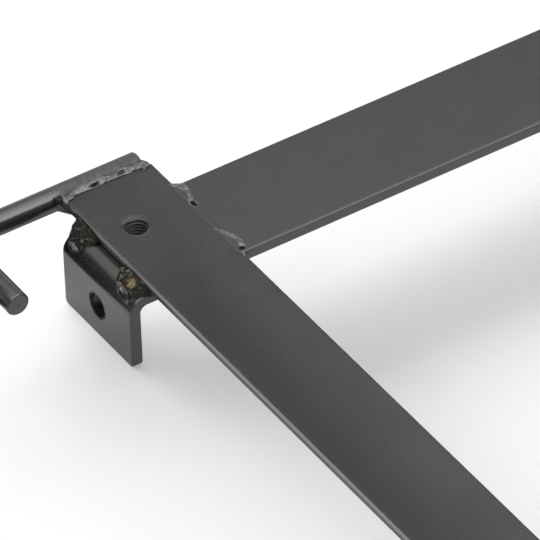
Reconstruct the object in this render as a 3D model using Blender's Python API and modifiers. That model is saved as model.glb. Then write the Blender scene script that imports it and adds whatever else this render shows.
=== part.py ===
"""Seat console: a welded flat-steel frame that a vehicle seat bolts down to.

Two side rails and two crossbars are butt-welded flush into one frame. Under
each end of each rail sits a bent tab, whose flange backs up the threaded seat
hole and whose plate takes a floor bolt. A round rod is welded across the rear
end of each rail and turns back beside it, as a hook.

Axes: +X to the right, +Y to the rear (the hook end), +Z up. The origin is on the
floor, below the middle of the whole console. All sizes are in metres.
"""

import math

import bmesh
import bpy
from mathutils import Matrix, Vector

# Frame: rails and crossbars
CONSOLE_WIDTH = 0.400
RAIL_LENGTH = 0.400
RAIL_WIDTH = 0.040
RAIL_THICKNESS = 0.005
CROSSBAR_WIDTH = 0.050
CROSSBAR_THICKNESS = 0.005
CROSSBAR_INSET = 0.0174
BAR_EDGE_RADIUS = 0.0006

# Threaded seat holes through the rails and the tab flanges
SEAT_THREAD_DIAMETER = 0.010
SEAT_HOLE_RIM = 0.0002
SEAT_HOLE_FROM_SIDE = 0.0144
SEAT_HOLE_FROM_END = 0.0298

# Bent tabs under the rails
TAB_WIDTH = 0.050
TAB_THICKNESS = 0.005
TAB_HEIGHT = 0.0338
TAB_FLANGE_LENGTH = 0.040
TAB_OVERHANG = 0.0097
TAB_INSET = 0.0127
TAB_INSIDE_RADIUS = 0.003
TAB_CORNER_RADIUS = 0.002
TAB_EDGE_RADIUS = 0.0004
TAB_HOLE_DIAMETER = 0.011
TAB_HOLE_HEIGHT = 0.0151

# Hook rods across the rear ends of the rails
ROD_DIAMETER = 0.010
ROD_END_SETBACK = 0.003
ROD_END_CHAMFER = 0.0006
HOOK_REACH = 0.0475
HOOK_LEG_LENGTH = 0.0473
HOOK_BEND_RADIUS = 0.013

# Weld beads; a bead's height is how far it stands above its seam
SEAM_BEAD_LENGTH = 0.014
SEAM_BEAD_WIDTH = 0.005
SEAM_BEAD_HEIGHT = 0.0011
SEAM_BEAD_INSET = 0.001
ROD_BEAD_WIDTH = 0.0056
ROD_BEAD_HEIGHT = 0.0018
ROD_BEAD_INSET = 0.0015
ROD_SIDE_BEAD_LENGTH = 0.0044
ROD_SIDE_BEAD_WIDTH = 0.0038
ROD_SIDE_BEAD_HEIGHT = 0.0024
TAB_BEAD_LENGTH = 0.014
TAB_BEAD_WIDTH = 0.0064
TAB_BEAD_HEIGHT = 0.0028
TAB_BEAD_INSET = 0.0005
FLANGE_BEAD_WIDTH = 0.005
FLANGE_BEAD_HEIGHT = 0.0022
FLANGE_BEAD_INSET = 0.004

# Clearance between neighbouring pieces
JOINT_GAP = 0.0003

# How finely round forms are divided
HOLE_SEGMENTS = 32
ROD_SEGMENTS = 24
ROD_BEND_STEPS = 10
TAB_BEND_STEPS = 7
CORNER_SEGMENTS = 4
EDGE_SEGMENTS = 2
BEAD_SEGMENTS = 10
BEAD_CAP_STEPS = 3
BEAD_TIP_ANGLE = math.radians(12)
SHARP_ANGLE = math.radians(40)
CUT_MARGIN = 0.002

# Places that follow from the sizes above, measured from the middle of the rails
# towards the corner where X and Y are positive
RAIL_UNDERSIDE_Z = TAB_HEIGHT + JOINT_GAP
RAIL_TOP_Z = RAIL_UNDERSIDE_Z + RAIL_THICKNESS
RAIL_MIDDLE_Z = RAIL_UNDERSIDE_Z + RAIL_THICKNESS / 2
RAIL_OUTER_X = CONSOLE_WIDTH / 2
RAIL_INNER_X = RAIL_OUTER_X - RAIL_WIDTH
RAIL_END_Y = RAIL_LENGTH / 2
CROSSBAR_UNDERSIDE_Z = RAIL_TOP_Z - CROSSBAR_THICKNESS
CROSSBAR_END_X = RAIL_INNER_X - JOINT_GAP
CROSSBAR_Y = RAIL_END_Y - CROSSBAR_INSET - CROSSBAR_WIDTH / 2
SEAT_HOLE_X = RAIL_OUTER_X - SEAT_HOLE_FROM_SIDE
SEAT_HOLE_Y = RAIL_END_Y - SEAT_HOLE_FROM_END
TAB_OUTER_X = RAIL_OUTER_X + TAB_OVERHANG
TAB_Y = RAIL_END_Y - TAB_INSET - TAB_WIDTH / 2
TAB_OUTSIDE_RADIUS = TAB_INSIDE_RADIUS + TAB_THICKNESS
ROD_RADIUS = ROD_DIAMETER / 2
ROD_Y = RAIL_END_Y + JOINT_GAP + ROD_RADIUS
HOOK_X = RAIL_OUTER_X + HOOK_REACH
RAILS_MIDDLE_Y = -(ROD_DIAMETER + JOINT_GAP) / 2

RAIL_PAINT = (0.075, 0.075, 0.073)
CROSSBAR_PAINT = (0.078, 0.079, 0.079)
TAB_PAINT = (0.070, 0.071, 0.066)
ROD_PAINT = (0.066, 0.066, 0.062)
BEAD_PAINT = (0.090, 0.090, 0.092)
PAINT_ROUGHNESS = 0.42
BEAD_ROUGHNESS = 0.34

SIDES = {"left": -1, "right": 1}
ENDS = {"rear": 1, "front": -1}


def clear_scene():
    """Remove every object, so that the part stands alone."""
    for existing in list(bpy.data.objects):
        bpy.data.objects.remove(existing, do_unlink=True)


def new_collection(name):
    """Make a collection and link it to the scene."""
    collection = bpy.data.collections.new(name)
    bpy.context.scene.collection.children.link(collection)
    return collection


def steel_paint(name, colour, roughness):
    """Make the dark semi-gloss coat of one piece."""
    material = bpy.data.materials.new(name)
    material.use_nodes = True
    shader = material.node_tree.nodes["Principled BSDF"]
    shader.inputs["Base Color"].default_value = (*colour, 1.0)
    shader.inputs["Roughness"].default_value = roughness
    shader.inputs["Metallic"].default_value = 0.0
    return material


def add_object(name, builder, collection):
    """Turn a bmesh into a named object with its faces pointing outward."""
    bmesh.ops.recalc_face_normals(builder, faces=builder.faces)
    mesh = bpy.data.meshes.new(name)
    builder.to_mesh(mesh)
    builder.free()
    added = bpy.data.objects.new(name, mesh)
    collection.objects.link(added)
    return added


def add_piece(name, builder, collection, colour, roughness=PAINT_ROUGHNESS):
    """Add one piece of the console with its own material."""
    piece = add_object(name, builder, collection)
    piece.data.materials.append(steel_paint(f"{name}_paint", colour, roughness))
    return piece


def add_cutter(name, builder, collection):
    """Add a body that only cuts others and is not part of the console."""
    cutter = add_object(name, builder, collection)
    cutter.hide_render = True
    cutter.display_type = "WIRE"
    return cutter


def round_edges(piece, radius):
    """Round the sharp edges of a piece."""
    bevel = piece.modifiers.new("rounded_edges", "BEVEL")
    bevel.width = radius
    bevel.segments = EDGE_SEGMENTS
    bevel.limit_method = "ANGLE"
    bevel.angle_limit = SHARP_ANGLE


def cut_from(piece, cutter):
    """Cut one body out of a piece."""
    boolean = piece.modifiers.new(cutter.name, "BOOLEAN")
    boolean.operation = "DIFFERENCE"
    boolean.solver = "EXACT"
    boolean.object = cutter


def add_box(builder, centre, size):
    """Add a box to a bmesh."""
    placing = Matrix.Translation(centre) @ Matrix.Diagonal((*size, 1.0))
    bmesh.ops.create_cube(builder, size=1.0, matrix=placing)


def add_cone(builder, start, end, start_radius, end_radius):
    """Add a cylinder or cone that runs from one point to another."""
    start, end = Vector(start), Vector(end)
    turn = Vector((0, 0, 1)).rotation_difference(end - start).to_matrix().to_4x4()
    bmesh.ops.create_cone(
        builder,
        cap_ends=True,
        segments=HOLE_SEGMENTS,
        radius1=start_radius,
        radius2=end_radius,
        depth=(end - start).length,
        matrix=Matrix.Translation((start + end) / 2) @ turn,
    )


def add_rings(builder, rings):
    """Skin a row of closed rings of points and close both ends."""
    loops = [[builder.verts.new(point) for point in ring] for ring in rings]
    for near, far in zip(loops, loops[1:]):
        for index, vertex in enumerate(near):
            following = (index + 1) % len(near)
            builder.faces.new((vertex, near[following], far[following], far[index]))
    builder.faces.new(loops[0])
    builder.faces.new(loops[-1])


def oval_ring(centre, way, half_width, half_height, segments):
    """List the points of an oval that stands square to the way it is swept.

    Its height runs along Z, or along Y where the sweep itself is upright.
    """
    rise = Vector((0, 1, 0)) if abs(way.z) > 0.5 else Vector((0, 0, 1))
    across = way.cross(rise)
    points = []
    for segment in range(segments):
        angle = 2 * math.pi * segment / segments
        offset = across * (half_width * math.cos(angle)) + rise * (half_height * math.sin(angle))
        points.append(Vector(centre) + offset)
    return points


def bead_body(centre, direction, length, width, height, growth=0.0):
    """Make a weld bead: an oval bar with round ends, lying along X, Y or Z.

    growth swells it on every side, for the pocket that the bead lies in.
    """
    direction = Vector(direction)
    half_width = width / 2 + growth
    half_height = height + growth
    cap = min(half_width, length / 2)
    straight = length / 2 + growth - cap
    stations = []
    for step in range(BEAD_CAP_STEPS + 1):
        angle = BEAD_TIP_ANGLE + (math.pi / 2 - BEAD_TIP_ANGLE) * step / BEAD_CAP_STEPS
        stations.append((straight + cap * math.cos(angle), math.sin(angle)))
    stations += [(-along, scale) for along, scale in reversed(stations)]
    builder = bmesh.new()
    rings = []
    for along, scale in stations:
        middle = Vector(centre) + direction * along
        rings.append(oval_ring(middle, direction, half_width * scale, half_height * scale, BEAD_SEGMENTS))
    add_rings(builder, rings)
    return builder


def add_weld(name, centre, direction, size, joined, pieces, cutters):
    """Lay one weld bead and cut the pocket that it fills in the joined pieces.

    size is the bead's length, width and height above its seam.
    """
    add_piece(name, bead_body(centre, direction, *size), pieces, BEAD_PAINT, BEAD_ROUGHNESS)
    pocket = add_cutter(f"{name}_pocket", bead_body(centre, direction, *size, JOINT_GAP), cutters)
    for piece in joined:
        cut_from(piece, pocket)


def build_rail(side, pieces):
    """Make one side rail as a flat bar."""
    direction = SIDES[side]
    middle_x = direction * (RAIL_OUTER_X - RAIL_WIDTH / 2)
    builder = bmesh.new()
    add_box(builder, (middle_x, 0, RAIL_MIDDLE_Z), (RAIL_WIDTH, RAIL_LENGTH, RAIL_THICKNESS))
    rail = add_piece(f"rail_{side}", builder, pieces, RAIL_PAINT)
    round_edges(rail, BAR_EDGE_RADIUS)
    return rail


def build_crossbar(end, pieces):
    """Make one crossbar, which fits between the rails with its top flush."""
    middle_z = RAIL_TOP_Z - CROSSBAR_THICKNESS / 2
    builder = bmesh.new()
    add_box(
        builder,
        (0, ENDS[end] * CROSSBAR_Y, middle_z),
        (2 * CROSSBAR_END_X, CROSSBAR_WIDTH, CROSSBAR_THICKNESS),
    )
    crossbar = add_piece(f"crossbar_{end}", builder, pieces, CROSSBAR_PAINT)
    round_edges(crossbar, BAR_EDGE_RADIUS)
    return crossbar


def tab_outline():
    """List the tab's side view, as distance in from its outer face and height."""
    bend_z = TAB_HEIGHT - TAB_OUTSIDE_RADIUS
    outline = [(TAB_THICKNESS, 0), (0, 0)]
    for step in range(TAB_BEND_STEPS + 1):
        angle = math.pi / 2 * step / TAB_BEND_STEPS
        inward = TAB_OUTSIDE_RADIUS * (1 - math.cos(angle))
        outline.append((inward, bend_z + TAB_OUTSIDE_RADIUS * math.sin(angle)))
    outline.append((TAB_FLANGE_LENGTH, TAB_HEIGHT))
    outline.append((TAB_FLANGE_LENGTH, TAB_HEIGHT - TAB_THICKNESS))
    for step in range(TAB_BEND_STEPS + 1):
        angle = math.pi / 2 * (1 - step / TAB_BEND_STEPS)
        inward = TAB_OUTSIDE_RADIUS - TAB_INSIDE_RADIUS * math.cos(angle)
        outline.append((inward, bend_z + TAB_INSIDE_RADIUS * math.sin(angle)))
    return outline


def build_tab(side, end, pieces, cutters):
    """Make one bent tab with its floor-bolt hole."""
    corner = f"{end}_{side}"
    direction = SIDES[side]
    middle_y = ENDS[end] * TAB_Y
    builder = bmesh.new()
    rings = []
    for edge_y in (middle_y - TAB_WIDTH / 2, middle_y + TAB_WIDTH / 2):
        rings.append([Vector((direction * (TAB_OUTER_X - inward), edge_y, z)) for inward, z in tab_outline()])
    add_rings(builder, rings)
    bottom_corners = []
    for edge in builder.edges:
        ends = [vertex.co for vertex in edge.verts]
        if all(point.z < CUT_MARGIN for point in ends) and abs(ends[0].x - ends[1].x) > TAB_THICKNESS / 2:
            bottom_corners.append(edge)
    bmesh.ops.bevel(
        builder,
        geom=bottom_corners,
        offset=TAB_CORNER_RADIUS,
        segments=CORNER_SEGMENTS,
        profile=0.5,
        affect="EDGES",
    )
    tab = add_piece(f"tab_{corner}", builder, pieces, TAB_PAINT)
    round_edges(tab, TAB_EDGE_RADIUS)
    hole = bmesh.new()
    outside = (direction * (TAB_OUTER_X + CUT_MARGIN), middle_y, TAB_HOLE_HEIGHT)
    inside = (direction * (TAB_OUTER_X - TAB_THICKNESS - CUT_MARGIN), middle_y, TAB_HOLE_HEIGHT)
    add_cone(hole, outside, inside, TAB_HOLE_DIAMETER / 2, TAB_HOLE_DIAMETER / 2)
    cut_from(tab, add_cutter(f"floor_bolt_hole_{corner}", hole, cutters))
    return tab


def cut_seat_hole(side, end, rail, tab, cutters):
    """Cut the threaded seat hole through a rail and the flange under it."""
    corner = f"{end}_{side}"
    x = SIDES[side] * SEAT_HOLE_X
    y = ENDS[end] * SEAT_HOLE_Y
    radius = SEAT_THREAD_DIAMETER / 2
    bore = bmesh.new()
    flange_underside = TAB_HEIGHT - TAB_THICKNESS
    add_cone(bore, (x, y, flange_underside - CUT_MARGIN), (x, y, RAIL_TOP_Z + CUT_MARGIN), radius, radius)
    bore_cutter = add_cutter(f"seat_hole_{corner}", bore, cutters)
    cut_from(rail, bore_cutter)
    cut_from(tab, bore_cutter)
    rim = bmesh.new()
    rim_start = (x, y, RAIL_TOP_Z - SEAT_HOLE_RIM)
    rim_end = (x, y, RAIL_TOP_Z + CUT_MARGIN)
    add_cone(rim, rim_start, rim_end, radius, radius + SEAT_HOLE_RIM + CUT_MARGIN)
    cut_from(rail, add_cutter(f"seat_hole_rim_{corner}", rim, cutters))


def rod_path(direction):
    """List the hook rod's centre line as points with the way it runs there."""
    bend_x = HOOK_X - HOOK_BEND_RADIUS
    bend_y = ROD_Y - HOOK_BEND_RADIUS
    outward = Vector((direction, 0, 0))
    forward = Vector((0, -1, 0))
    inner_end = Vector((direction * (RAIL_INNER_X + ROD_END_SETBACK), ROD_Y, RAIL_MIDDLE_Z))
    leg_end = Vector((direction * HOOK_X, ROD_Y - HOOK_LEG_LENGTH, RAIL_MIDDLE_Z))
    path = [(inner_end, outward), (inner_end + outward * ROD_END_CHAMFER, outward)]
    for step in range(ROD_BEND_STEPS + 1):
        angle = math.pi / 2 * step / ROD_BEND_STEPS
        x = bend_x + HOOK_BEND_RADIUS * math.sin(angle)
        y = bend_y + HOOK_BEND_RADIUS * math.cos(angle)
        way = outward * math.cos(angle) + forward * math.sin(angle)
        path.append((Vector((direction * x, y, RAIL_MIDDLE_Z)), way))
    path += [(leg_end - forward * ROD_END_CHAMFER, forward), (leg_end, forward)]
    return path


def build_hook_rod(side, pieces):
    """Make one hook rod as a round bar swept along its bent centre line."""
    path = rod_path(SIDES[side])
    builder = bmesh.new()
    rings = []
    for index, (point, way) in enumerate(path):
        at_end = index in (0, len(path) - 1)
        radius = ROD_RADIUS - ROD_END_CHAMFER if at_end else ROD_RADIUS
        rings.append(oval_ring(point, way, radius, radius, ROD_SEGMENTS))
    add_rings(builder, rings)
    return add_piece(f"hook_rod_{side}", builder, pieces, ROD_PAINT)


def weld_crossbar(side, end, rail, crossbar, pieces, cutters):
    """Weld one end of a crossbar: two short beads on top and a long one below."""
    corner = f"{end}_{side}"
    seam_x = SIDES[side] * (RAIL_INNER_X + CROSSBAR_END_X) / 2
    offset = CROSSBAR_WIDTH / 2 - SEAM_BEAD_INSET - SEAM_BEAD_LENGTH / 2
    along = (0, 1, 0)
    short_bead = (SEAM_BEAD_LENGTH, SEAM_BEAD_WIDTH, SEAM_BEAD_HEIGHT)
    for place, shift in (("outer", offset), ("inner", -offset)):
        centre = (seam_x, ENDS[end] * (CROSSBAR_Y + shift), RAIL_TOP_Z)
        add_weld(f"seam_weld_{corner}_{place}", centre, along, short_bead, (rail, crossbar), pieces, cutters)
    long_bead = (CROSSBAR_WIDTH - 2 * SEAM_BEAD_INSET, SEAM_BEAD_WIDTH, SEAM_BEAD_HEIGHT)
    centre = (seam_x, ENDS[end] * CROSSBAR_Y, CROSSBAR_UNDERSIDE_Z)
    add_weld(f"seam_weld_{corner}_under", centre, along, long_bead, (rail, crossbar), pieces, cutters)


def weld_tab(side, end, rail, tab, pieces, cutters):
    """Weld a tab to its rail: two lumps outside and one bead along the flange."""
    corner = f"{end}_{side}"
    along = (0, 1, 0)
    lump = (TAB_BEAD_LENGTH, TAB_BEAD_WIDTH, TAB_BEAD_HEIGHT)
    lump_x = SIDES[side] * (RAIL_OUTER_X + TAB_BEAD_WIDTH / 4)
    lump_z = RAIL_UNDERSIDE_Z + TAB_BEAD_HEIGHT / 4
    offset = TAB_WIDTH / 2 - TAB_BEAD_INSET - TAB_BEAD_LENGTH / 2
    for place, shift in (("outer", offset), ("inner", -offset)):
        centre = (lump_x, ENDS[end] * (TAB_Y + shift), lump_z)
        add_weld(f"tab_weld_{corner}_{place}", centre, along, lump, (rail, tab), pieces, cutters)
    bead = (TAB_WIDTH - 2 * FLANGE_BEAD_INSET, FLANGE_BEAD_WIDTH, FLANGE_BEAD_HEIGHT)
    flange_end_x = SIDES[side] * (TAB_OUTER_X - TAB_FLANGE_LENGTH)
    centre = (flange_end_x, ENDS[end] * TAB_Y, RAIL_UNDERSIDE_Z)
    add_weld(f"flange_weld_{corner}", centre, along, bead, (rail, tab), pieces, cutters)


def weld_rod(side, rail, rod, pieces, cutters):
    """Weld a hook rod to the rear end of its rail, above, below and outside."""
    length = RAIL_WIDTH - ROD_END_SETBACK - 2 * ROD_BEAD_INSET
    centre_x = SIDES[side] * (RAIL_OUTER_X - ROD_BEAD_INSET - length / 2)
    bead = (length, ROD_BEAD_WIDTH, ROD_BEAD_HEIGHT)
    for place, seam_z in (("top", RAIL_TOP_Z), ("under", RAIL_UNDERSIDE_Z)):
        centre = (centre_x, RAIL_END_Y, seam_z)
        add_weld(f"rod_weld_{side}_{place}", centre, (1, 0, 0), bead, (rail, rod), pieces, cutters)
    side_bead = (ROD_SIDE_BEAD_LENGTH, ROD_SIDE_BEAD_WIDTH, ROD_SIDE_BEAD_HEIGHT)
    bite = ROD_BEAD_INSET - JOINT_GAP
    side_x = SIDES[side] * (RAIL_OUTER_X - bite + ROD_SIDE_BEAD_WIDTH / 2)
    centre = (side_x, RAIL_END_Y - ROD_SIDE_BEAD_HEIGHT / 2, RAIL_MIDDLE_Z)
    add_weld(f"rod_weld_{side}_side", centre, (0, 0, 1), side_bead, (rail, rod), pieces, cutters)


def centre_console(*collections):
    """Move everything so that the origin lies below the middle of the console.

    The rods stand out behind the rails, so the rails lie a little to the front.
    """
    middle = bpy.data.objects.new("rails_middle", None)
    middle.location.y = RAILS_MIDDLE_Y
    bpy.context.scene.collection.objects.link(middle)
    for collection in collections:
        for member in collection.objects:
            member.parent = middle


def build_console():
    """Build the whole seat console."""
    clear_scene()
    pieces = new_collection("seat_console")
    cutters = new_collection("cutters")
    rails = {side: build_rail(side, pieces) for side in SIDES}
    crossbars = {end: build_crossbar(end, pieces) for end in ENDS}
    for side, rail in rails.items():
        rod = build_hook_rod(side, pieces)
        weld_rod(side, rail, rod, pieces, cutters)
        for end, crossbar in crossbars.items():
            tab = build_tab(side, end, pieces, cutters)
            cut_seat_hole(side, end, rail, tab, cutters)
            weld_crossbar(side, end, rail, crossbar, pieces, cutters)
            weld_tab(side, end, rail, tab, pieces, cutters)
    centre_console(pieces, cutters)


build_console()
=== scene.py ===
"""Seat console, dressed: the welded flat-steel frame under its sprayed coat.

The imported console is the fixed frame. Each bar, tab and rod gets a finer body
with rounded edges and bored holes, each weld gets its own lumpy bead, and each
seat hole gets its thread. Lengths are in metres: +X right, +Y rear, +Z up.
"""

import logging
import math
from collections.abc import Callable, Sequence
from dataclasses import dataclass, field, replace
from enum import Enum

import bmesh
import bpy
import numpy as np
from mathutils import Matrix, Vector, noise
from mathutils.geometry import delaunay_2d_cdt


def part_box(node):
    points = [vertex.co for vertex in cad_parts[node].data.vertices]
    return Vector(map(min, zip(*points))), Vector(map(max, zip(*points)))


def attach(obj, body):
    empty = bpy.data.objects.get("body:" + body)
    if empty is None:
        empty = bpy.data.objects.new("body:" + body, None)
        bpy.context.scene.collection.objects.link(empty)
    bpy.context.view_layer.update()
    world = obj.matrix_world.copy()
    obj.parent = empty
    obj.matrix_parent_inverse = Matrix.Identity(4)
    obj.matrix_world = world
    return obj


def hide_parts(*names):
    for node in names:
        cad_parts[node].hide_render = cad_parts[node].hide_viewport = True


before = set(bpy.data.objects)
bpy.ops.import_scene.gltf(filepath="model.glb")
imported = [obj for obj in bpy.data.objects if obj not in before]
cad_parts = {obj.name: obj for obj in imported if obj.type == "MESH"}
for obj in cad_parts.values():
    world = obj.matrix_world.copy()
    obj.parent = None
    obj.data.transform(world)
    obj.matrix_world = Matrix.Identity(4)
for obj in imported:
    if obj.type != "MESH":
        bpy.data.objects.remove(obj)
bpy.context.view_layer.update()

log = logging.getLogger("seat_console")

MM = 0.001
BODY = "root"
Colour = tuple[float, float, float]
Flat = tuple[float, float]
Place = tuple[float, float, float]
Size = tuple[float, float, float]
Socket = bpy.types.NodeSocket
Placing = Callable[[float, float, float], Vector]
FLOAT, VECTOR, COLOUR = "NodeSocketFloat", "NodeSocketVector", "NodeSocketColor"


class Side(Enum):
    """A side of the console, with the sign of its X."""

    LEFT = -1
    RIGHT = 1

    @property
    def label(self) -> str:
        """Give the side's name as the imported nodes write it."""
        return self.name.lower()


class End(Enum):
    """An end of the console, with the sign of its Y."""

    REAR = 1
    FRONT = -1

    @property
    def label(self) -> str:
        """Give the end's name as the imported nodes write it."""
        return self.name.lower()


class Slot(Enum):
    """The record's material slots."""

    RAIL = "rail_paint"
    CROSSBAR = "crossbar_paint"
    ROD = "rod_paint"
    TAB = "tab_paint"
    WELD = "weld_paint"


# Finishes


class Wiring:
    """A small helper that adds and joins nodes in one node tree."""

    def __init__(self, tree: bpy.types.NodeTree) -> None:
        """Keep the tree that the nodes go into."""
        self.tree = tree

    def add(self, kind: str, **values: object) -> bpy.types.Node:
        """Add one node.

        Args:
            kind: The node's type, such as ShaderNodeTexNoise.
            **values: Settings of the node by attribute name.

        Returns:
            The new node.
        """
        node = self.tree.nodes.new(kind)
        for name, value in values.items():
            setattr(node, name, value)
        return node

    def join(self, source: Socket, target: Socket) -> None:
        """Link one socket to another."""
        self.tree.links.new(source, target)

    def feed(self, target: Socket, value: object) -> None:
        """Give a socket either a link or a plain value.

        Args:
            target: The socket that takes it.
            value: Another socket, or the value.
        """
        if isinstance(value, Socket):
            self.join(value, target)
        else:
            target.default_value = value

    def noise(self, vector: Socket, scale: object, detail: float = 3.0, rough: float = 0.5) -> Socket:
        """Add a noise texture.

        Args:
            vector: Where the texture is read.
            scale: Lumps per metre, as a number or a socket.
            detail: How many finer layers it has.
            rough: How strong the finer layers are.

        Returns:
            The noise's value, about 0.5 on average.
        """
        node = self.add("ShaderNodeTexNoise", noise_dimensions="3D")
        self.join(vector, node.inputs["Vector"])
        self.feed(node.inputs["Scale"], scale)
        node.inputs["Detail"].default_value = detail
        node.inputs["Roughness"].default_value = rough
        return node.outputs["Fac"]

    def math(self, operation: str, first: object, second: object = 0.0, clamp: bool = False) -> Socket:
        """Add a math node.

        Args:
            operation: What it does.
            first: Its first value, as a number or a socket.
            second: Its second value.
            clamp: Whether the result is kept from 0 to 1.

        Returns:
            The result.
        """
        node = self.add("ShaderNodeMath", operation=operation, use_clamp=clamp)
        self.feed(node.inputs[0], first)
        self.feed(node.inputs[1], second)
        return node.outputs[0]

    def stretch(
        self, value: object, low: float, high: float, to_low: float = 0.0, to_high: float = 1.0
    ) -> Socket:
        """Map one range of values smoothly onto another.

        Args:
            value: The value, as a number or a socket.
            low: The range's lower end.
            high: Its upper end.
            to_low: What the lower end turns into.
            to_high: What the upper end turns into.

        Returns:
            The result.
        """
        node = self.add("ShaderNodeMapRange", interpolation_type="SMOOTHSTEP", clamp=True)
        for index, given in enumerate((value, low, high, to_low, to_high)):
            self.feed(node.inputs[index], given)
        return node.outputs[0]

    def blend(self, factor: object, first: object, second: object) -> Socket:
        """Mix two colours.

        Args:
            factor: The second colour's share, as a number or a socket.
            first: The first colour, as three numbers or a socket.
            second: The second colour.

        Returns:
            The mixed colour.
        """
        node = self.add("ShaderNodeMix", data_type="RGBA", blend_type="MIX")
        self.feed(node.inputs[0], factor)
        self.feed(node.inputs[6], (*first, 1.0) if isinstance(first, tuple) else first)
        self.feed(node.inputs[7], (*second, 1.0) if isinstance(second, tuple) else second)
        return node.outputs[2]


@dataclass
class EffectGroup:
    """A node group that several finishes share.

    Attributes:
        name: The group's name.
        takes: Its inputs, as name to socket type and first value.
        gives: Its outputs, as name to socket type.
        fill: What wires the group between its inputs and outputs.
    """

    name: str
    takes: dict[str, tuple[str, object]]
    gives: dict[str, str]
    fill: Callable[[Wiring, bpy.types.Node, bpy.types.Node], None]

    def tree(self) -> bpy.types.NodeTree:
        """Build the group once and return it each time.

        Returns:
            The shader node group.
        """
        found = bpy.data.node_groups.get(self.name)
        if found is not None:
            return found
        tree = bpy.data.node_groups.new(self.name, "ShaderNodeTree")
        for name, (kind, value) in self.takes.items():
            socket = tree.interface.new_socket(name=name, in_out="INPUT", socket_type=kind)
            if value is not None:
                socket.default_value = value
        for name, kind in self.gives.items():
            tree.interface.new_socket(name=name, in_out="OUTPUT", socket_type=kind)
        wiring = Wiring(tree)
        self.fill(wiring, wiring.add("NodeGroupInput"), wiring.add("NodeGroupOutput"))
        return tree

    def place(self, wiring: Wiring, **values: object) -> bpy.types.Node:
        """Put the group into a material.

        Args:
            wiring: The material's wiring.
            **values: Inputs by name, with _ for each space.

        Returns:
            The group's node.
        """
        node = wiring.add("ShaderNodeGroup", node_tree=self.tree())
        for name, value in values.items():
            wiring.feed(node.inputs[name.replace("_", " ")], value)
        return node


def _fill_spray_grain(wiring: Wiring, takes: bpy.types.Node, gives: bpy.types.Node) -> None:
    """Wire the sprayed coat's surface: fine grain over slow orange peel.

    Args:
        wiring: The group's wiring.
        takes: Its inputs.
        gives: Its outputs.
    """
    place = takes.outputs["Place"]
    fine = wiring.noise(place, takes.outputs["Grain Scale"], 4.0, 0.65)
    peel = wiring.noise(place, takes.outputs["Peel Scale"], 2.0, 0.45)
    fine_part = wiring.math("MULTIPLY", fine, takes.outputs["Grain Depth"])
    peel_part = wiring.math("MULTIPLY", peel, takes.outputs["Peel Depth"])
    wiring.join(wiring.math("ADD", fine_part, peel_part), gives.inputs["Height"])
    wiring.join(wiring.stretch(fine, 0.35, 0.68), gives.inputs["Speckle"])


def _fill_coat_mottle(wiring: Wiring, takes: bpy.types.Node, gives: bpy.types.Node) -> None:
    """Wire the coat's colour: slow drifts to a warmer and a cooler shade.

    Args:
        wiring: The group's wiring.
        takes: Its inputs.
        gives: Its outputs.
    """
    place = takes.outputs["Place"]
    shifted = wiring.add("ShaderNodeVectorMath", operation="ADD")
    wiring.join(place, shifted.inputs[0])
    shifted.inputs[1].default_value = (3.1, 7.7, 1.3)
    warm_mask = wiring.stretch(wiring.noise(place, takes.outputs["Scale"], 3.0), 0.46, 0.66)
    cool_mask = wiring.stretch(wiring.noise(shifted.outputs[0], takes.outputs["Scale"], 3.0), 0.5, 0.68)
    warm_share = wiring.math("MULTIPLY", warm_mask, takes.outputs["Strength"])
    cool_share = wiring.math("MULTIPLY", cool_mask, takes.outputs["Strength"])
    warm = wiring.blend(warm_share, takes.outputs["Base"], takes.outputs["Warm"])
    wiring.join(wiring.blend(cool_share, warm, takes.outputs["Cool"]), gives.inputs["Color"])


def _fill_edge_wear(wiring: Wiring, takes: bpy.types.Node, gives: bpy.types.Node) -> None:
    """Wire the thin, broken lightening along edges: worn bar edges, and painted highlights along the welds'
    toes and crests.

    Args:
        wiring: The group's wiring.
        takes: Its inputs.
        gives: Its outputs.
    """
    broken = wiring.noise(takes.outputs["Place"], takes.outputs["Scale"], 5.0, 0.7)
    mask = wiring.math("MULTIPLY", takes.outputs["Edge"], wiring.stretch(broken, 0.48, 0.62))
    wiring.join(wiring.math("MULTIPLY", mask, takes.outputs["Amount"], clamp=True), gives.inputs["Mask"])


def _fill_dust_film(wiring: Wiring, takes: bpy.types.Node, gives: bpy.types.Node) -> None:
    """Wire the faint film of dust on whatever faces up.

    Args:
        wiring: The group's wiring.
        takes: Its inputs.
        gives: Its outputs.
    """
    split = wiring.add("ShaderNodeSeparateXYZ")
    wiring.join(takes.outputs["Facing"], split.inputs[0])
    upward = wiring.stretch(split.outputs["Z"], 0.35, 0.98)
    patches = wiring.noise(takes.outputs["Place"], takes.outputs["Scale"], 5.0, 0.62)
    patches = wiring.stretch(patches, 0.36, 0.78)
    mask = wiring.math("MULTIPLY", upward, patches)
    wiring.join(wiring.math("MULTIPLY", mask, takes.outputs["Amount"], clamp=True), gives.inputs["Mask"])


def _fill_weld_crust(wiring: Wiring, takes: bpy.types.Node, gives: bpy.types.Node) -> None:
    """Wire the crumbly crust that welding leaves, with painted shade in its hollows and painted highlights on
    its crumbs.

    Args:
        wiring: The group's wiring.
        takes: Its inputs.
        gives: Its outputs.
    """
    crumbs = wiring.noise(takes.outputs["Place"], takes.outputs["Scale"], 4.0, 0.62)
    wiring.join(crumbs, gives.inputs["Height"])
    wiring.join(wiring.stretch(crumbs, 0.40, 0.56, 0.9, 0.0), gives.inputs["Hollow_Shade"])
    wiring.join(wiring.stretch(crumbs, 0.54, 0.66, 0.0, 1.0), gives.inputs["Crumb_Highlight"])


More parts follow.
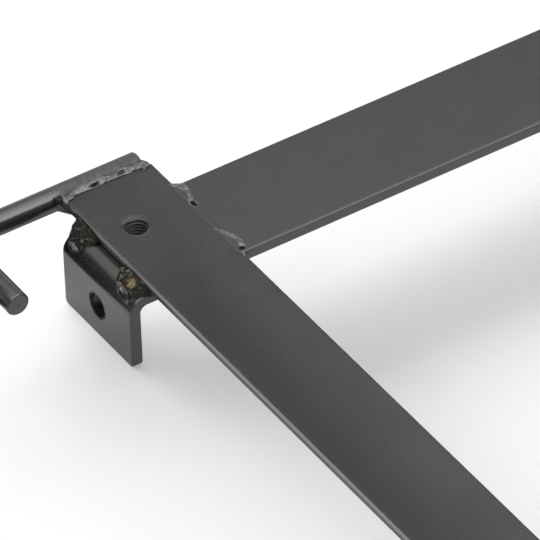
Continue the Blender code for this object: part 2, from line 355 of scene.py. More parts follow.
SPRAY_GRAIN = EffectGroup(
    "spray_grain",
    {
        "Place": (VECTOR, None),
        "Grain Scale": (FLOAT, 2600.0),
        "Grain Depth": (FLOAT, 0.4),
        "Peel Scale": (FLOAT, 420.0),
        "Peel Depth": (FLOAT, 1.0),
    },
    {"Height": FLOAT, "Speckle": FLOAT},
    _fill_spray_grain,
)
WELD_CRUST = EffectGroup(
    "weld_crust",
    {"Place": (VECTOR, None), "Scale": (FLOAT, 560.0)},
    {"Height": FLOAT, "Hollow_Shade": FLOAT, "Crumb_Highlight": FLOAT},
    _fill_weld_crust,
)
COAT_MOTTLE = EffectGroup(
    "coat_mottle",
    {
        "Place": (VECTOR, None),
        "Scale": (FLOAT, 22.0),
        "Base": (COLOUR, (0.03, 0.03, 0.03, 1.0)),
        "Warm": (COLOUR, (0.03, 0.03, 0.02, 1.0)),
        "Cool": (COLOUR, (0.03, 0.03, 0.04, 1.0)),
        "Strength": (FLOAT, 0.3),
    },
    {"Color": COLOUR},
    _fill_coat_mottle,
)
EDGE_WEAR_AND_HIGHLIGHT = EffectGroup(
    "edge_wear_and_highlight",
    {
        "Place": (VECTOR, None),
        "Edge": (FLOAT, 0.0),
        "Scale": (FLOAT, 500.0),
        "Amount": (FLOAT, 0.5),
    },
    {"Mask": FLOAT},
    _fill_edge_wear,
)
DUST_FILM = EffectGroup(
    "dust_film",
    {
        "Place": (VECTOR, None),
        "Facing": (VECTOR, None),
        "Scale": (FLOAT, 60.0),
        "Amount": (FLOAT, 0.2),
    },
    {"Mask": FLOAT},
    _fill_dust_film,
)


@dataclass(frozen=True)
class BareSpot:
    """A place where a weld burnt through and no coat took.

    Attributes:
        centre: The middle of the spot.
        radius: How far the bare metal reaches.
        metal: The spot's own colour.
        scorch: The colour of its burnt edge.
        streak: The colour of the paler streaks in it.
    """

    centre: Place
    radius: float
    metal: Colour = (0.075, 0.070, 0.022)
    scorch: Colour = (0.030, 0.007, 0.006)
    streak: Colour = (0.13, 0.125, 0.055)


@dataclass(frozen=True)
class SprayedCoat:
    """The dark semi-gloss coat sprayed over the whole console.

    Attributes:
        name: The material's name.
        base: The coat's main colour.
        pale: The coat's colour towards the crossbars and the rails' ends, painted paler there as painted
            light.
        warm: The shade it drifts to in greenish patches.
        cool: The shade it drifts to in bluish patches.
        roughness: How matt the coat is.
        ior: How strongly it mirrors.
        bump: How deep the spray grain looks.
        dust: How much dust lies on upward faces.
        wear_and_highlight: How strongly edges are lightened: rubbed wear on the bars, painted highlights
            along the welds.
        cut: The coat's colour on sheared faces, lighter there as painted light; dark cut colours are painted
            shade in pits and deep threads.
        cut_roughness: How much more matt it is there.
        scaled: The coat's colour where welding heat marked it, over the rails, if it did.
        crust: How deep its burnt crust is, in metres, if it has one.
        crumb_highlight: The colour painted on the crust's raised crumbs, as painted highlights.
        spot: A bare place, if there is one.
    """

    name: str
    base: Colour = (0.0036, 0.0038, 0.0030)
    pale: Colour = (0.0080, 0.0080, 0.0078)
    warm: Colour = (0.0070, 0.0073, 0.0046)
    cool: Colour = (0.0050, 0.0056, 0.0068)
    roughness: float = 0.22
    ior: float = 1.6
    bump: float = 0.10
    dust: float = 0.01
    wear_and_highlight: float = 0.30
    cut: Colour = (0.085, 0.085, 0.083)
    cut_roughness: float = 0.2
    scaled: Colour | None = None
    crust: float = 0.0
    crumb_highlight: Colour = (0.048, 0.050, 0.036)
    spot: BareSpot | None = None

    SPECKLE = (0.026, 0.026, 0.025)
    SPECKLE_SHARE = 0.13
    SPECKLE_ROUGHNESS = 0.07
    RUBBED_AND_HIGHLIGHT = (0.085, 0.085, 0.082)
    DUST = (0.20, 0.20, 0.19)
    DUST_ROUGHNESS = 0.5
    HOLLOW_SHADE = (0.0008, 0.0008, 0.0005)
    HEAT_SIDES = (0.1975, 0.2060)
    HEAT_SCALE = 620.0
    HEAT_ROUGHNESS = 0.50
    RAGGED_SCALE = 900.0
    STREAK_SCALE = 1400.0
    BARE_ROUGHNESS = 0.15
    GRAIN_DEPTH = 0.1 * MM
    PALE_SIDES = (0.163, 0.200)
    PALE_REAR = (0.08, 0.17)
    PALE_FRONT = (-0.17, -0.08)
    REAR_SHARE = 0.85
    FRONT_SHARE = 0.5

    def material(self) -> bpy.types.Material:
        """Build the coat's material once and return it each time.

        Returns:
            The material.
        """
        found = bpy.data.materials.get(self.name)
        if found is not None:
            return found
        made = bpy.data.materials.new(self.name)
        made.use_nodes = True
        wiring = Wiring(made.node_tree)
        shader = made.node_tree.nodes["Principled BSDF"]
        shader.inputs["IOR"].default_value = self.ior
        place = wiring.add("ShaderNodeTexCoord").outputs["Object"]
        facing = wiring.add("ShaderNodeNewGeometry").outputs["Normal"]
        edge = wiring.add("ShaderNodeAttribute", attribute_name="edge").outputs["Fac"]
        grain = SPRAY_GRAIN.place(wiring, Place=place)
        cut = wiring.add("ShaderNodeAttribute", attribute_name="cut").outputs["Fac"]
        # Painted light: the base is blended towards the paler tone near the crossbars and the rails' ends,
        # for the light falling across the tops.
        painted_light_share = self._nearness(wiring, place)
        painted_light_base = wiring.blend(painted_light_share, self.base, self.pale)
        mottle = COAT_MOTTLE.place(
            wiring, Place=place, Base=painted_light_base, Warm=(*self.warm, 1.0), Cool=(*self.cool, 1.0)
        )
        wear_and_highlight = EDGE_WEAR_AND_HIGHLIGHT.place(wiring, Place=place, Edge=edge, Amount=self.wear_and_highlight)
        dust = DUST_FILM.place(wiring, Place=place, Facing=facing, Amount=self.dust)
        speckle = wiring.math("MULTIPLY", grain.outputs["Speckle"], self.SPECKLE_SHARE)
        speckled = wiring.blend(speckle, mottle.outputs["Color"], self.SPECKLE)
        # Painted light and shade: the cut tone lightens sheared faces and darkens pits and deep threads.
        cut_light_and_shade = wiring.blend(cut, speckled, self.cut)
        # Rubbed wear on bar edges; painted highlights along the welds' toes and crests.
        rubbed_and_lit = wiring.blend(wear_and_highlight.outputs["Mask"], cut_light_and_shade, self.RUBBED_AND_HIGHLIGHT)
        dusty = wiring.blend(dust.outputs["Mask"], rubbed_and_lit, self.DUST)
        rough = self.roughness
        for mask, more in (
            (grain.outputs["Speckle"], self.SPECKLE_ROUGHNESS),
            (dust.outputs["Mask"], self.DUST_ROUGHNESS),
            (cut, self.cut_roughness),
        ):
            rough = wiring.math("ADD", wiring.math("MULTIPLY", mask, more), rough)
        if self.scaled is not None:
            dusty, rough = self._heated(wiring, place, dusty, rough)
        if self.crust:
            crust = WELD_CRUST.place(wiring, Place=place)
            # Painted shade darkens the crust's hollows and painted highlights lighten its crumbs.
            hollow_shaded = wiring.blend(crust.outputs["Hollow_Shade"], dusty, self.HOLLOW_SHADE)
            dusty = wiring.blend(crust.outputs["Crumb_Highlight"], hollow_shaded, self.crumb_highlight)
        if self.spot is not None:
            dusty, rough = self._bare(wiring, place, dusty, rough)
        wiring.join(dusty, shader.inputs["Base Color"])
        wiring.join(rough, shader.inputs["Roughness"])
        bump = wiring.add("ShaderNodeBump")
        bump.inputs["Strength"].default_value = self.bump
        bump.inputs["Distance"].default_value = self.GRAIN_DEPTH
        wiring.join(grain.outputs["Height"], bump.inputs["Height"])
        if self.crust:
            deep = wiring.add("ShaderNodeBump")
            deep.inputs["Distance"].default_value = self.crust
            wiring.join(crust.outputs["Height"], deep.inputs["Height"])
            wiring.join(deep.outputs["Normal"], bump.inputs["Normal"])
        wiring.join(bump.outputs["Normal"], shader.inputs["Normal"])
        return made

    def _nearness(self, wiring: Wiring, place: Socket) -> Socket:
        """Give how near a point lies to the crossbars and the rails' ends, from 0 to 1: the share of painted
        light.

        Args:
            wiring: The material's wiring.
            place: The point on the object.

        Returns:
            The mask.
        """
        split = wiring.add("ShaderNodeSeparateXYZ")
        wiring.join(place, split.inputs[0])
        inward = wiring.stretch(wiring.math("ABSOLUTE", split.outputs["X"]), *self.PALE_SIDES, 1.0, 0.0)
        rearward = wiring.stretch(split.outputs["Y"], *self.PALE_REAR, 0.0, self.REAR_SHARE)
        frontward = wiring.stretch(split.outputs["Y"], *self.PALE_FRONT, self.FRONT_SHARE, 0.0)
        return wiring.math("MAXIMUM", inward, wiring.math("MAXIMUM", rearward, frontward))

    def _heated(self, wiring: Wiring, place: Socket, colour: Socket, rough: Socket) -> tuple[Socket, Socket]:
        """Dull the coat over the rails, where welding heat marked it.

        Args:
            wiring: The material's wiring.
            place: The point on the object.
            colour: The coat's colour.
            rough: The coat's roughness.

        Returns:
            The colour and the roughness with the mark.
        """
        split = wiring.add("ShaderNodeSeparateXYZ")
        wiring.join(place, split.inputs[0])
        over = wiring.stretch(wiring.math("ABSOLUTE", split.outputs["X"]), *self.HEAT_SIDES, 1.0, 0.0)
        patches = wiring.stretch(wiring.noise(place, self.HEAT_SCALE, 4.0, 0.6), 0.30, 0.62, 0.45, 1.0)
        mask = wiring.math("MULTIPLY", over, patches)
        dulled = wiring.math("ADD", rough, wiring.math("MULTIPLY", mask, self.HEAT_ROUGHNESS))
        return wiring.blend(mask, colour, self.scaled), dulled

    def _bare(self, wiring: Wiring, place: Socket, colour: Socket, rough: Socket) -> tuple[Socket, Socket]:
        """Lay the bare spot over the coat.

        Args:
            wiring: The material's wiring.
            place: The point on the object.
            colour: The coat's colour so far.
            rough: The coat's roughness so far.

        Returns:
            The colour and the roughness with the spot in them.
        """
        radius = self.spot.radius
        away = wiring.add("ShaderNodeVectorMath", operation="DISTANCE")
        wiring.join(place, away.inputs[0])
        away.inputs[1].default_value = self.spot.centre
        ragged = wiring.math("MULTIPLY", wiring.noise(place, self.RAGGED_SCALE, 4.0, 0.6), 0.9 * radius)
        reach = wiring.math("SUBTRACT", wiring.math("ADD", away.outputs["Value"], ragged), 0.45 * radius)
        burnt = wiring.stretch(reach, 0.9 * radius, 1.5 * radius, 1.0, 0.0)
        scorched = wiring.blend(burnt, colour, self.spot.scorch)
        core = wiring.stretch(reach, 0.7 * radius, 1.0 * radius, 1.0, 0.0)
        streaks = wiring.stretch(wiring.noise(place, self.STREAK_SCALE, 3.0), 0.4, 0.62)
        streaked = wiring.blend(streaks, self.spot.metal, self.spot.streak)
        rougher = wiring.math("ADD", rough, wiring.math("MULTIPLY", core, self.BARE_ROUGHNESS))
        return wiring.blend(core, scorched, streaked), rougher


@dataclass(frozen=True)
class PaleFloor:
    """The plain pale floor.

    Attributes:
        name: The material's name.
        tone: The colour of its surface.
        glow: How brightly it is lit from below.
    """

    name: str = "pale_floor"
    tone: Colour = (0.34, 0.34, 0.342)
    glow: float = 0.325

    def material(self) -> bpy.types.Material:
        """Build the floor's material.

        Returns:
            The material.
        """
        made = bpy.data.materials.new(self.name)
        made.use_nodes = True
        shader = made.node_tree.nodes["Principled BSDF"]
        shader.inputs["Roughness"].default_value = 0.9
        shader.inputs["Specular IOR Level"].default_value = 0.1
        shader.inputs["Base Color"].default_value = (*self.tone, 1.0)
        shader.inputs["Emission Color"].default_value = (1.0, 1.0, 1.0, 1.0)
        shader.inputs["Emission Strength"].default_value = self.glow
        return made


# Mesh making


@dataclass
class Skin:
    """A closed surface while it is being made.

    Attributes:
        points: Its points.
        faces: Its faces as point numbers.
        edge: For each point, how much of an edge it lies on, from 0 to 1; on weld beads, how much painted
            highlight it carries.
        cut: For each point, how much of a sheared face, pit or deep thread it lies on, from 0 to 1; it
            carries painted light on the faces and painted shade in pits and threads.
    """

    points: list[Vector] = field(default_factory=list)
    faces: list[tuple[int, ...]] = field(default_factory=list)
    edge: list[float] = field(default_factory=list)
    cut: list[float] = field(default_factory=list)

    def ring(self, points: Sequence[Vector], edge: float = 0.0, cut: float = 0.0) -> list[int]:
        """Add a row of points.

        Args:
            points: The points in order.
            edge: How much of an edge they lie on.
            cut: How much of the cut tone they take: painted light on sheared faces, painted shade deep in a
                thread.

        Returns:
            The numbers of the new points.
        """
        first = len(self.points)
        self.points.extend(points)
        self.edge.extend([edge] * len(points))
        self.cut.extend([cut] * len(points))
        return list(range(first, first + len(points)))

    def bridge(self, near: Sequence[int], far: Sequence[int]) -> None:
        """Join two closed rings with four-sided faces.

        Args:
            near: The first ring's point numbers.
            far: The second ring's, as many.
        """
        count = len(near)
        for index in range(count):
            following = (index + 1) % count
            self.faces.append((near[index], near[following], far[following], far[index]))

    def chain(self, rings: Sequence[Sequence[int]]) -> None:
        """Join a row of rings, each to the next.

        Args:
            rings: Their point numbers.
        """
        for near, far in zip(rings, rings[1:]):
            self.bridge(near, far)

    def close(self, ring: Sequence[int]) -> None:
        """Close a ring with a fan round one middle point.

        Args:
            ring: Its point numbers.
        """
        middle = sum((self.points[index] for index in ring), Vector()) / len(ring)
        hub = self.ring([middle])[0]
        for index, number in enumerate(ring):
            self.faces.append((number, ring[(index + 1) % len(ring)], hub))

    def object(self, name: str, weighted: bool = False) -> bpy.types.Object:
        """Turn the surface into an object with outward, smooth-shaded faces.

        Args:
            name: The piece's name.
            weighted: Whether large flat faces keep their own flat shading.

        Returns:
            The new object.
        """
        mesh = bpy.data.meshes.new(name)
        mesh.from_pydata([tuple(point) for point in self.points], [], self.faces)
        mesh.validate()
        builder = bmesh.new()
        builder.from_mesh(mesh)
        bmesh.ops.recalc_face_normals(builder, faces=builder.faces)
        builder.to_mesh(mesh)
        builder.free()
        for label, values in (("edge", self.edge), ("cut", self.cut)):
            attribute = mesh.attributes.new(label, "FLOAT", "POINT")
            attribute.data.foreach_set("value", np.array(values, np.float32))
        mesh.polygons.foreach_set("use_smooth", [True] * len(mesh.polygons))
        made = bpy.data.objects.new(name, mesh)
        bpy.context.scene.collection.objects.link(made)
        if weighted:
            shading = made.modifiers.new("flat_faces_stay_flat", "WEIGHTED_NORMAL")
            shading.mode = "FACE_AREA"
            shading.weight = 100
        return made


def circle(middle: Flat, radius: float, steps: int) -> list[Flat]:
    """List points round a circle.

    Args:
        middle: Its middle.
        radius: Its radius.
        steps: How many points it has.

    Returns:
        The points, anticlockwise.
    """
    turns = [2 * math.pi * step / steps for step in range(steps)]
    return [(middle[0] + radius * math.cos(turn), middle[1] + radius * math.sin(turn)) for turn in turns]


def dress(piece: bpy.types.Object, coat: SprayedCoat, slot: Slot, *nodes: str) -> bpy.types.Object:
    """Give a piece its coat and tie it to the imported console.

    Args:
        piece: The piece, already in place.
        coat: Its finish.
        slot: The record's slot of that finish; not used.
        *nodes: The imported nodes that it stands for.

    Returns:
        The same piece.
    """
    piece.data.materials.append(coat.material())
    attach(piece, BODY)
    if nodes:
        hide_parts(*nodes)
    log.info("%s: %d faces", piece.name, len(piece.data.polygons))
    return piece


@dataclass(frozen=True)
class RoundHole:
    """A round hole through a plate.

    Attributes:
        along: Its place along the plate.
        across: Its place across the plate.
        radius: Its radius.
        rim: How far its rim is broken.
        dip: How far the plate sinks around it.
    """

    along: float
    across: float
    radius: float
    rim: float = 0.12 * MM
    dip: float = 0.0


@dataclass
class Plate:
    """A plate with rounded edges and round holes, straight or bent.

    Attributes:
        length: Size along the blank.
        width: Size across the blank.
        thickness: Size through the blank.
        edge_radius: Rounding along every edge.
        start_corner: Corner radius at the start of the blank.
        end_corner: Corner radius at its end.
        holes: The holes through it.
        rows: Places along it where a row of points crosses it, as at a bend.
        low_cut: How much of the painted light on its sides stays below their middle; less leaves the lower
            side darker, as painted shade.
    """

    length: float
    width: float
    thickness: float
    edge_radius: float = 0.4 * MM
    start_corner: float = 0.8 * MM
    end_corner: float = 0.8 * MM
    holes: tuple[RoundHole, ...] = ()
    rows: tuple[float, ...] = ()
    low_cut: float = 1.0

    CORNER_STEPS = 5
    EDGE_STEPS = 4
    HOLE_STEPS = 64
    CROSS_STEP = 5 * MM
    HOLE_BORDER = 0.5 * MM
    DISH = 3.0
    DISH_SHOULDER = (0.42, 0.22)
    ROLL_WIDTH = 1.1 * MM
    ROLL_DROP = 0.10 * MM
    SIDE_LIGHT_LINE = 0.6
    LEAST_CORNER = 0.12
    CLOSENESS = 1e-7

    def outline(self, inset: float) -> list[Flat]:
        """List the blank's outline, drawn in by some distance.

        Args:
            inset: How far it is drawn in.

        Returns:
            Its points, anticlockwise, the same count for every inset.
        """
        start, end = self.start_corner, self.end_corner
        corners = (
            (start, start, start, math.pi),
            (self.length - end, end, end, 1.5 * math.pi),
            (self.length - end, self.width - end, end, 0.0),
            (start, self.width - start, start, 0.5 * math.pi),
        )
        count = max(1, round(self.width / self.CROSS_STEP))
        across = [self.width * step / count for step in range(1, count)]
        sides = (
            [(row, inset) for row in self.rows],
            [(self.length - inset, place) for place in across],
            [(row, self.width - inset) for row in reversed(self.rows)],
            [(inset, place) for place in reversed(across)],
        )
        points = []
        for (middle_u, middle_v, radius, first), side in zip(corners, sides):
            reach = max(radius - inset, self.LEAST_CORNER * radius)
            shift = radius - inset - reach
            middle_u += math.copysign(shift, math.cos(first + 0.25 * math.pi) * shift)
            middle_v += math.copysign(shift, math.sin(first + 0.25 * math.pi) * shift)
            for step in range(self.CORNER_STEPS + 1):
                angle = first + 0.5 * math.pi * step / self.CORNER_STEPS
                points.append((middle_u + reach * math.cos(angle), middle_v + reach * math.sin(angle)))
            points.extend(side)
        return points

    def build(self, name: str, placing: Placing) -> bpy.types.Object:
        """Build the plate.

        Args:
            name: The piece's name.
            placing: Turns a point of the blank (along, across, through) into its place.

        Returns:
            The new object.
        """
        skin = Skin()
        radius, thick = self.edge_radius, self.thickness
        crest = thick - self.ROLL_DROP
        profile = [
            (radius + self.ROLL_WIDTH, thick, 0.0, 0.0),
            (radius + 0.5 * self.ROLL_WIDTH, thick - 0.25 * self.ROLL_DROP, 0.0, 0.0),
            (radius, crest, 0.25, 0.0),
        ]
        for step in range(1, self.EDGE_STEPS + 1):
            share = step / self.EDGE_STEPS
            angle = 0.5 * math.pi * share
            inset, drop = radius * (1 - math.sin(angle)), radius * (1 - math.cos(angle))
            profile.append((inset, crest - drop, 1.0, share**3))
        # Painted light on the sides: the lighter cut tone runs down to the middle line; below it only a share
        # stays, as painted shade on the lower side.
        profile.append((0.0, self.SIDE_LIGHT_LINE * thick, 0.0, 1.0))
        for inset, height, edge, cut in reversed(profile[:]):
            profile.append((inset, thick - height, edge, self.low_cut * cut))
        rings = [
            self._lay(skin, self.outline(inset), height, placing, edge, cut)
            for inset, height, edge, cut in profile
        ]
        skin.chain(rings)
        top_loops, bottom_loops = [rings[0]], [rings[-1]]
        for hole in self.holes:
            bores = self._bore(skin, hole, placing)
            top_loops.append(bores[0])
            bottom_loops.append(bores[-1])
        self._face(skin, top_loops, bottom_loops)
        return skin.object(name, weighted=True)

    def _lay(
        self,
        skin: Skin,
        points: Sequence[Flat],
        height: float,
        placing: Placing,
        edge: float,
        cut: float = 0.0,
    ) -> list[int]:
        """Lay one ring of the blank into the skin and return its point numbers."""
        return skin.ring([placing(along, across, height) for along, across in points], edge, cut)

    def _bore(self, skin: Skin, hole: RoundHole, placing: Placing) -> list[list[int]]:
        """Bore one hole.

        Args:
            skin: The skin so far.
            hole: The hole.
            placing: The blank's placing.

        Returns:
            The hole's rings, from the top face to the bottom face.
        """
        rim, thick = hole.rim, self.thickness
        reach, low = hole.radius + rim, thick - hole.dip
        border = self.HOLE_BORDER + self.DISH * hole.dip
        shoulder, sunk = self.DISH_SHOULDER
        profile = [
            (reach + border, thick, 0.0),
            (reach + shoulder * border, thick - sunk * hole.dip, 0.0),
            (reach, low, 0.5),
            (hole.radius + 0.3 * rim, low - 0.3 * rim, 1.0),
            (hole.radius, low - rim, 0.5),
        ]
        profile += [(reach, thick - height, edge) for reach, height, edge in reversed(profile)]
        rings = []
        for reach, height, edge in profile:
            points = circle((hole.along, hole.across), reach, self.HOLE_STEPS)
            rings.append(self._lay(skin, points, height, placing, edge))
        skin.chain(rings)
        return rings

    def _face(self, skin: Skin, top_loops: list[list[int]], bottom_loops: list[list[int]]) -> None:
        """Fill the flat faces between the outline and the holes.

        Args:
            skin: The skin so far.
            top_loops: The outline and the hole rims on the top face.
            bottom_loops: The same rings on the bottom face.
        """
        inset = self.edge_radius + self.ROLL_WIDTH
        flat = self.outline(inset)
        pairs = [(index, (index + 1) % len(flat)) for index in range(len(flat))]
        steps = self.CORNER_STEPS + 1
        cross = max(1, round(self.width / self.CROSS_STEP)) - 1
        count = len(self.rows)
        for index in range(count):
            pairs.append((steps + index, 3 * steps + 2 * count + cross - 1 - index))
        for hole in self.holes:
            reach = hole.radius + hole.rim + self.HOLE_BORDER
            first = len(flat)
            flat += circle((hole.along, hole.across), reach, self.HOLE_STEPS)
            pairs += [(first + step, first + (step + 1) % self.HOLE_STEPS) for step in range(self.HOLE_STEPS)]
        points = [Vector(point) for point in flat]
        _, _, triangles, origins, _, _ = delaunay_2d_cdt(points, pairs, [], 0, self.CLOSENESS)
        top = [number for loop in top_loops for number in loop]
        bottom = [number for loop in bottom_loops for number in loop]
        for triangle in triangles:
            numbers = [origins[corner][0] for corner in triangle]
            middle = sum((Vector(flat[number]) for number in numbers), Vector((0, 0))) / 3
            if any((middle - Vector((hole.along, hole.across))).length < hole.radius for hole in self.holes):
                continue
            skin.faces.append(tuple(top[number] for number in numbers))
            skin.faces.append(tuple(bottom[number] for number in reversed(numbers)))


# Steel pieces


@dataclass
class FlatBar:
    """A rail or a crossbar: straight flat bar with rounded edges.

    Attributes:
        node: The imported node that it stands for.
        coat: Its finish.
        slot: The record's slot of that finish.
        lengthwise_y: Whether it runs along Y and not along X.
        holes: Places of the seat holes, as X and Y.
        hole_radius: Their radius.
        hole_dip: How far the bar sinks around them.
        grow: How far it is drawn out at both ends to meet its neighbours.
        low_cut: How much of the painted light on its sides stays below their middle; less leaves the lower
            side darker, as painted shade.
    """

    node: str
    coat: SprayedCoat
    slot: Slot
    lengthwise_y: bool
    holes: tuple[Flat, ...] = ()
    hole_radius: float = 4.9 * MM
    hole_dip: float = 0.75 * MM
    grow: float = 0.0
    low_cut: float = 1.0

    def build(self) -> bpy.types.Object:
        """Build and dress the bar.

        Returns:
            The new piece.
        """
        low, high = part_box(self.node)
        size = high - low
        turned = self.lengthwise_y
        length = (size.y if turned else size.x) + 2 * self.grow
        width = size.x if turned else size.y
        start = (low.y if turned else low.x) - self.grow
        side = low.x if turned else low.y
        flipped = [(y, x) if turned else (x, y) for x, y in self.holes]
        holes = tuple(
            RoundHole(along - start, across - side, self.hole_radius, dip=self.hole_dip)
            for along, across in flipped
        )

        def placing(along: float, across: float, through: float) -> Vector:
            """Place a point of the blank where the bar lies."""
            if turned:
                return Vector((side + across, start + along, low.z + through))
            return Vector((start + along, side + across, low.z + through))

        blank = Plate(length, width, size.z, holes=holes, low_cut=self.low_cut)
        return dress(blank.build(f"{self.node}_bar", placing), self.coat, self.slot, self.node)


@dataclass
class BentTab:
    """A tab under a rail: a plate bent square, with a bolt hole and a seat hole.

    Attributes:
        side: The side it is on.
        end: The end it is at.
        coat: Its finish.
        seat_hole: Place of the seat hole through its flange, as X and Y.
        thickness: Its thickness.
        inside_radius: The bend's inside radius.
        bolt_hole_radius: Radius of the floor-bolt hole.
        bolt_hole_height: Height of that hole.
        bottom_corner: Radius of its bottom corners.
        edge_radius: Rounding along its edges.
        seat_hole_radius: Radius of the seat hole.
    """

    side: Side
    end: End
    coat: SprayedCoat
    seat_hole: Flat
    thickness: float = 5.0 * MM
    inside_radius: float = 3.0 * MM
    bolt_hole_radius: float = 5.5 * MM
    bolt_hole_height: float = 15.1 * MM
    bottom_corner: float = 2.0 * MM
    edge_radius: float = 0.45 * MM
    seat_hole_radius: float = 5.0 * MM

    BEND_ROWS = 12

    def build(self) -> bpy.types.Object:
        """Build and dress the tab.

        Returns:
            The new piece.
        """
        node = f"tab_{self.end.label}_{self.side.label}"
        low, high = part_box(node)
        outer_radius = self.inside_radius + self.thickness
        upright = high.z - outer_radius
        bend = 0.5 * math.pi * (self.inside_radius + self.thickness / 2)
        flange = (high.x - low.x) - outer_radius
        outer_x = low.x if self.side is Side.LEFT else high.x
        inward = -self.side.value
        width = high.y - low.y
        seat_along = upright + bend + (self.seat_hole[0] - outer_x) * inward - outer_radius
        holes = (
            RoundHole(self.bolt_hole_height, width / 2, self.bolt_hole_radius),
            RoundHole(seat_along, self.seat_hole[1] - low.y, self.seat_hole_radius),
        )
        rows = tuple(upright + bend * step / self.BEND_ROWS for step in range(self.BEND_ROWS + 1))

        def placing(along: float, across: float, through: float) -> Vector:
            """Bend a point of the blank into its place."""
            turn = min(max((along - upright) / bend, 0.0), 1.0) * 0.5 * math.pi
            radius = self.inside_radius + through
            past = max(along - upright - bend, 0.0)
            reach = outer_radius - radius * math.cos(turn) + past
            height = min(along, upright) + radius * math.sin(turn)
            return Vector((outer_x + inward * reach, low.y + across, height))

        blank = Plate(
            upright + bend + flange,
            width,
            self.thickness,
            edge_radius=self.edge_radius,
            start_corner=self.bottom_corner,
            holes=holes,
            rows=rows,
        )
        return dress(blank.build(f"{node}_plate", placing), self.coat, Slot.TAB, node)


@dataclass
class HookRod:
    """A round rod across the rear end of a rail, turned back as a hook.

    Attributes:
        side: The side it is on.
        coat: Its finish.
        radius: The rod's radius.
        bend_radius: The bend's radius at the rod's middle.
        chamfer: How far the cut ends are broken.
    """

    side: Side
    coat: SprayedCoat
    radius: float = 5.0 * MM
    bend_radius: float = 13.0 * MM
    chamfer: float = 0.5 * MM

    SIDES = 48
    BEND_STEPS = 28
    RUN_STEP = 4 * MM
    # Share of the end's reach, depth in millimetres and cut tone of each ring: faint saw rings, lightened by
    # the cut tone as painted light.
    END_RINGS = (
        (0.92, 0.0, 1.0),
        (0.74, 0.06, 0.5),
        (0.56, 0.0, 1.0),
        (0.4, 0.05, 0.5),
        (0.26, 0.0, 0.9),
        (0.1, 0.04, 0.2),
    )

    def path(self) -> list[tuple[Vector, Vector]]:
        """List the rod's middle line.

        Returns:
            Points with the way the rod runs there, from its inner end to its tip.
        """
        low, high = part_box(f"hook_rod_{self.side.label}")
        sign = self.side.value
        inner_x = high.x if self.side is Side.LEFT else low.x
        outer_x = low.x if self.side is Side.LEFT else high.x
        hook_x = outer_x - sign * self.radius
        rod_y = high.y - self.radius
        rod_z = (low.z + high.z) / 2
        outward, forward = Vector((sign, 0, 0)), Vector((0, -1, 0))
        bend_start = Vector((hook_x - sign * self.bend_radius, rod_y, rod_z))
        bend_end = Vector((hook_x, rod_y - self.bend_radius, rod_z))
        inner_end, tip = Vector((inner_x, rod_y, rod_z)), Vector((hook_x, low.y, rod_z))
        line = [(inner_end, outward)]
        line += self._run(inner_end + outward * self.chamfer, bend_start, outward)
        centre = bend_start + forward * self.bend_radius
        for step in range(1, self.BEND_STEPS):
            turn = 0.5 * math.pi * step / self.BEND_STEPS
            arm = outward * math.sin(turn) - forward * math.cos(turn)
            way = outward * math.cos(turn) + forward * math.sin(turn)
            line.append((centre + arm * self.bend_radius, way))
        line += self._run(bend_end, tip - forward * self.chamfer, forward)
        line.append((tip, forward))
        return line

    def _run(self, start: Vector, stop: Vector, way: Vector) -> list[tuple[Vector, Vector]]:
        """List a straight run of the rod in even steps, both ends included."""
        count = max(1, round((stop - start).length / self.RUN_STEP))
        return [(start.lerp(stop, step / count), way) for step in range(count + 1)]

    def build(self) -> bpy.types.Object:
        """Build and dress the rod.

        Returns:
            The new piece.
        """
        skin = Skin()
        line = self.path()
        rings = []
        for index, (point, way) in enumerate(line):
            at_end = index in (0, len(line) - 1)
            reach = self.radius - self.chamfer if at_end else self.radius
            rings.append(self._ring(skin, point, way, reach))
        skin.chain(rings)
        for ring, (point, way), sign in ((rings[0], line[0], 1), (rings[-1], line[-1], -1)):
            self._cut_end(skin, ring, point, way * sign)
        name = f"hook_rod_{self.side.label}"
        return dress(skin.object(f"{name}_bar", weighted=True), self.coat, Slot.ROD, name)

    def _ring(self, skin: Skin, point: Vector, way: Vector, reach: float, cut: float = 0.0) -> list[int]:
        """Lay one ring square to the rod and return its point numbers."""
        across, up = way.cross(Vector((0, 0, 1))), Vector((0, 0, 1))
        round_it = circle((0.0, 0.0), reach, self.SIDES)
        return skin.ring([point + across * right + up * high for right, high in round_it], 0.0, cut)

    def _cut_end(self, skin: Skin, ring: list[int], point: Vector, inward: Vector) -> None:
        """Close a cut end, faintly dished and ringed as the saw and the coat left it.

        Args:
            skin: The skin so far.
            ring: The end's outermost ring.
            point: The end's middle.
            inward: The way into the rod.
        """
        last = ring
        for share, depth, cut in self.END_RINGS:
            reach = (self.radius - self.chamfer) * share
            following = self._ring(skin, point + inward * (depth * MM), inward, reach, cut)
            if inward.cross(Vector((0, 0, 1))).dot(skin.points[ring[0]] - point) < 0:
                half = self.SIDES // 2
                following = [following[(half - index) % self.SIDES] for index in range(self.SIDES)]
            skin.bridge(last, following)
            last = following
        skin.close(last)


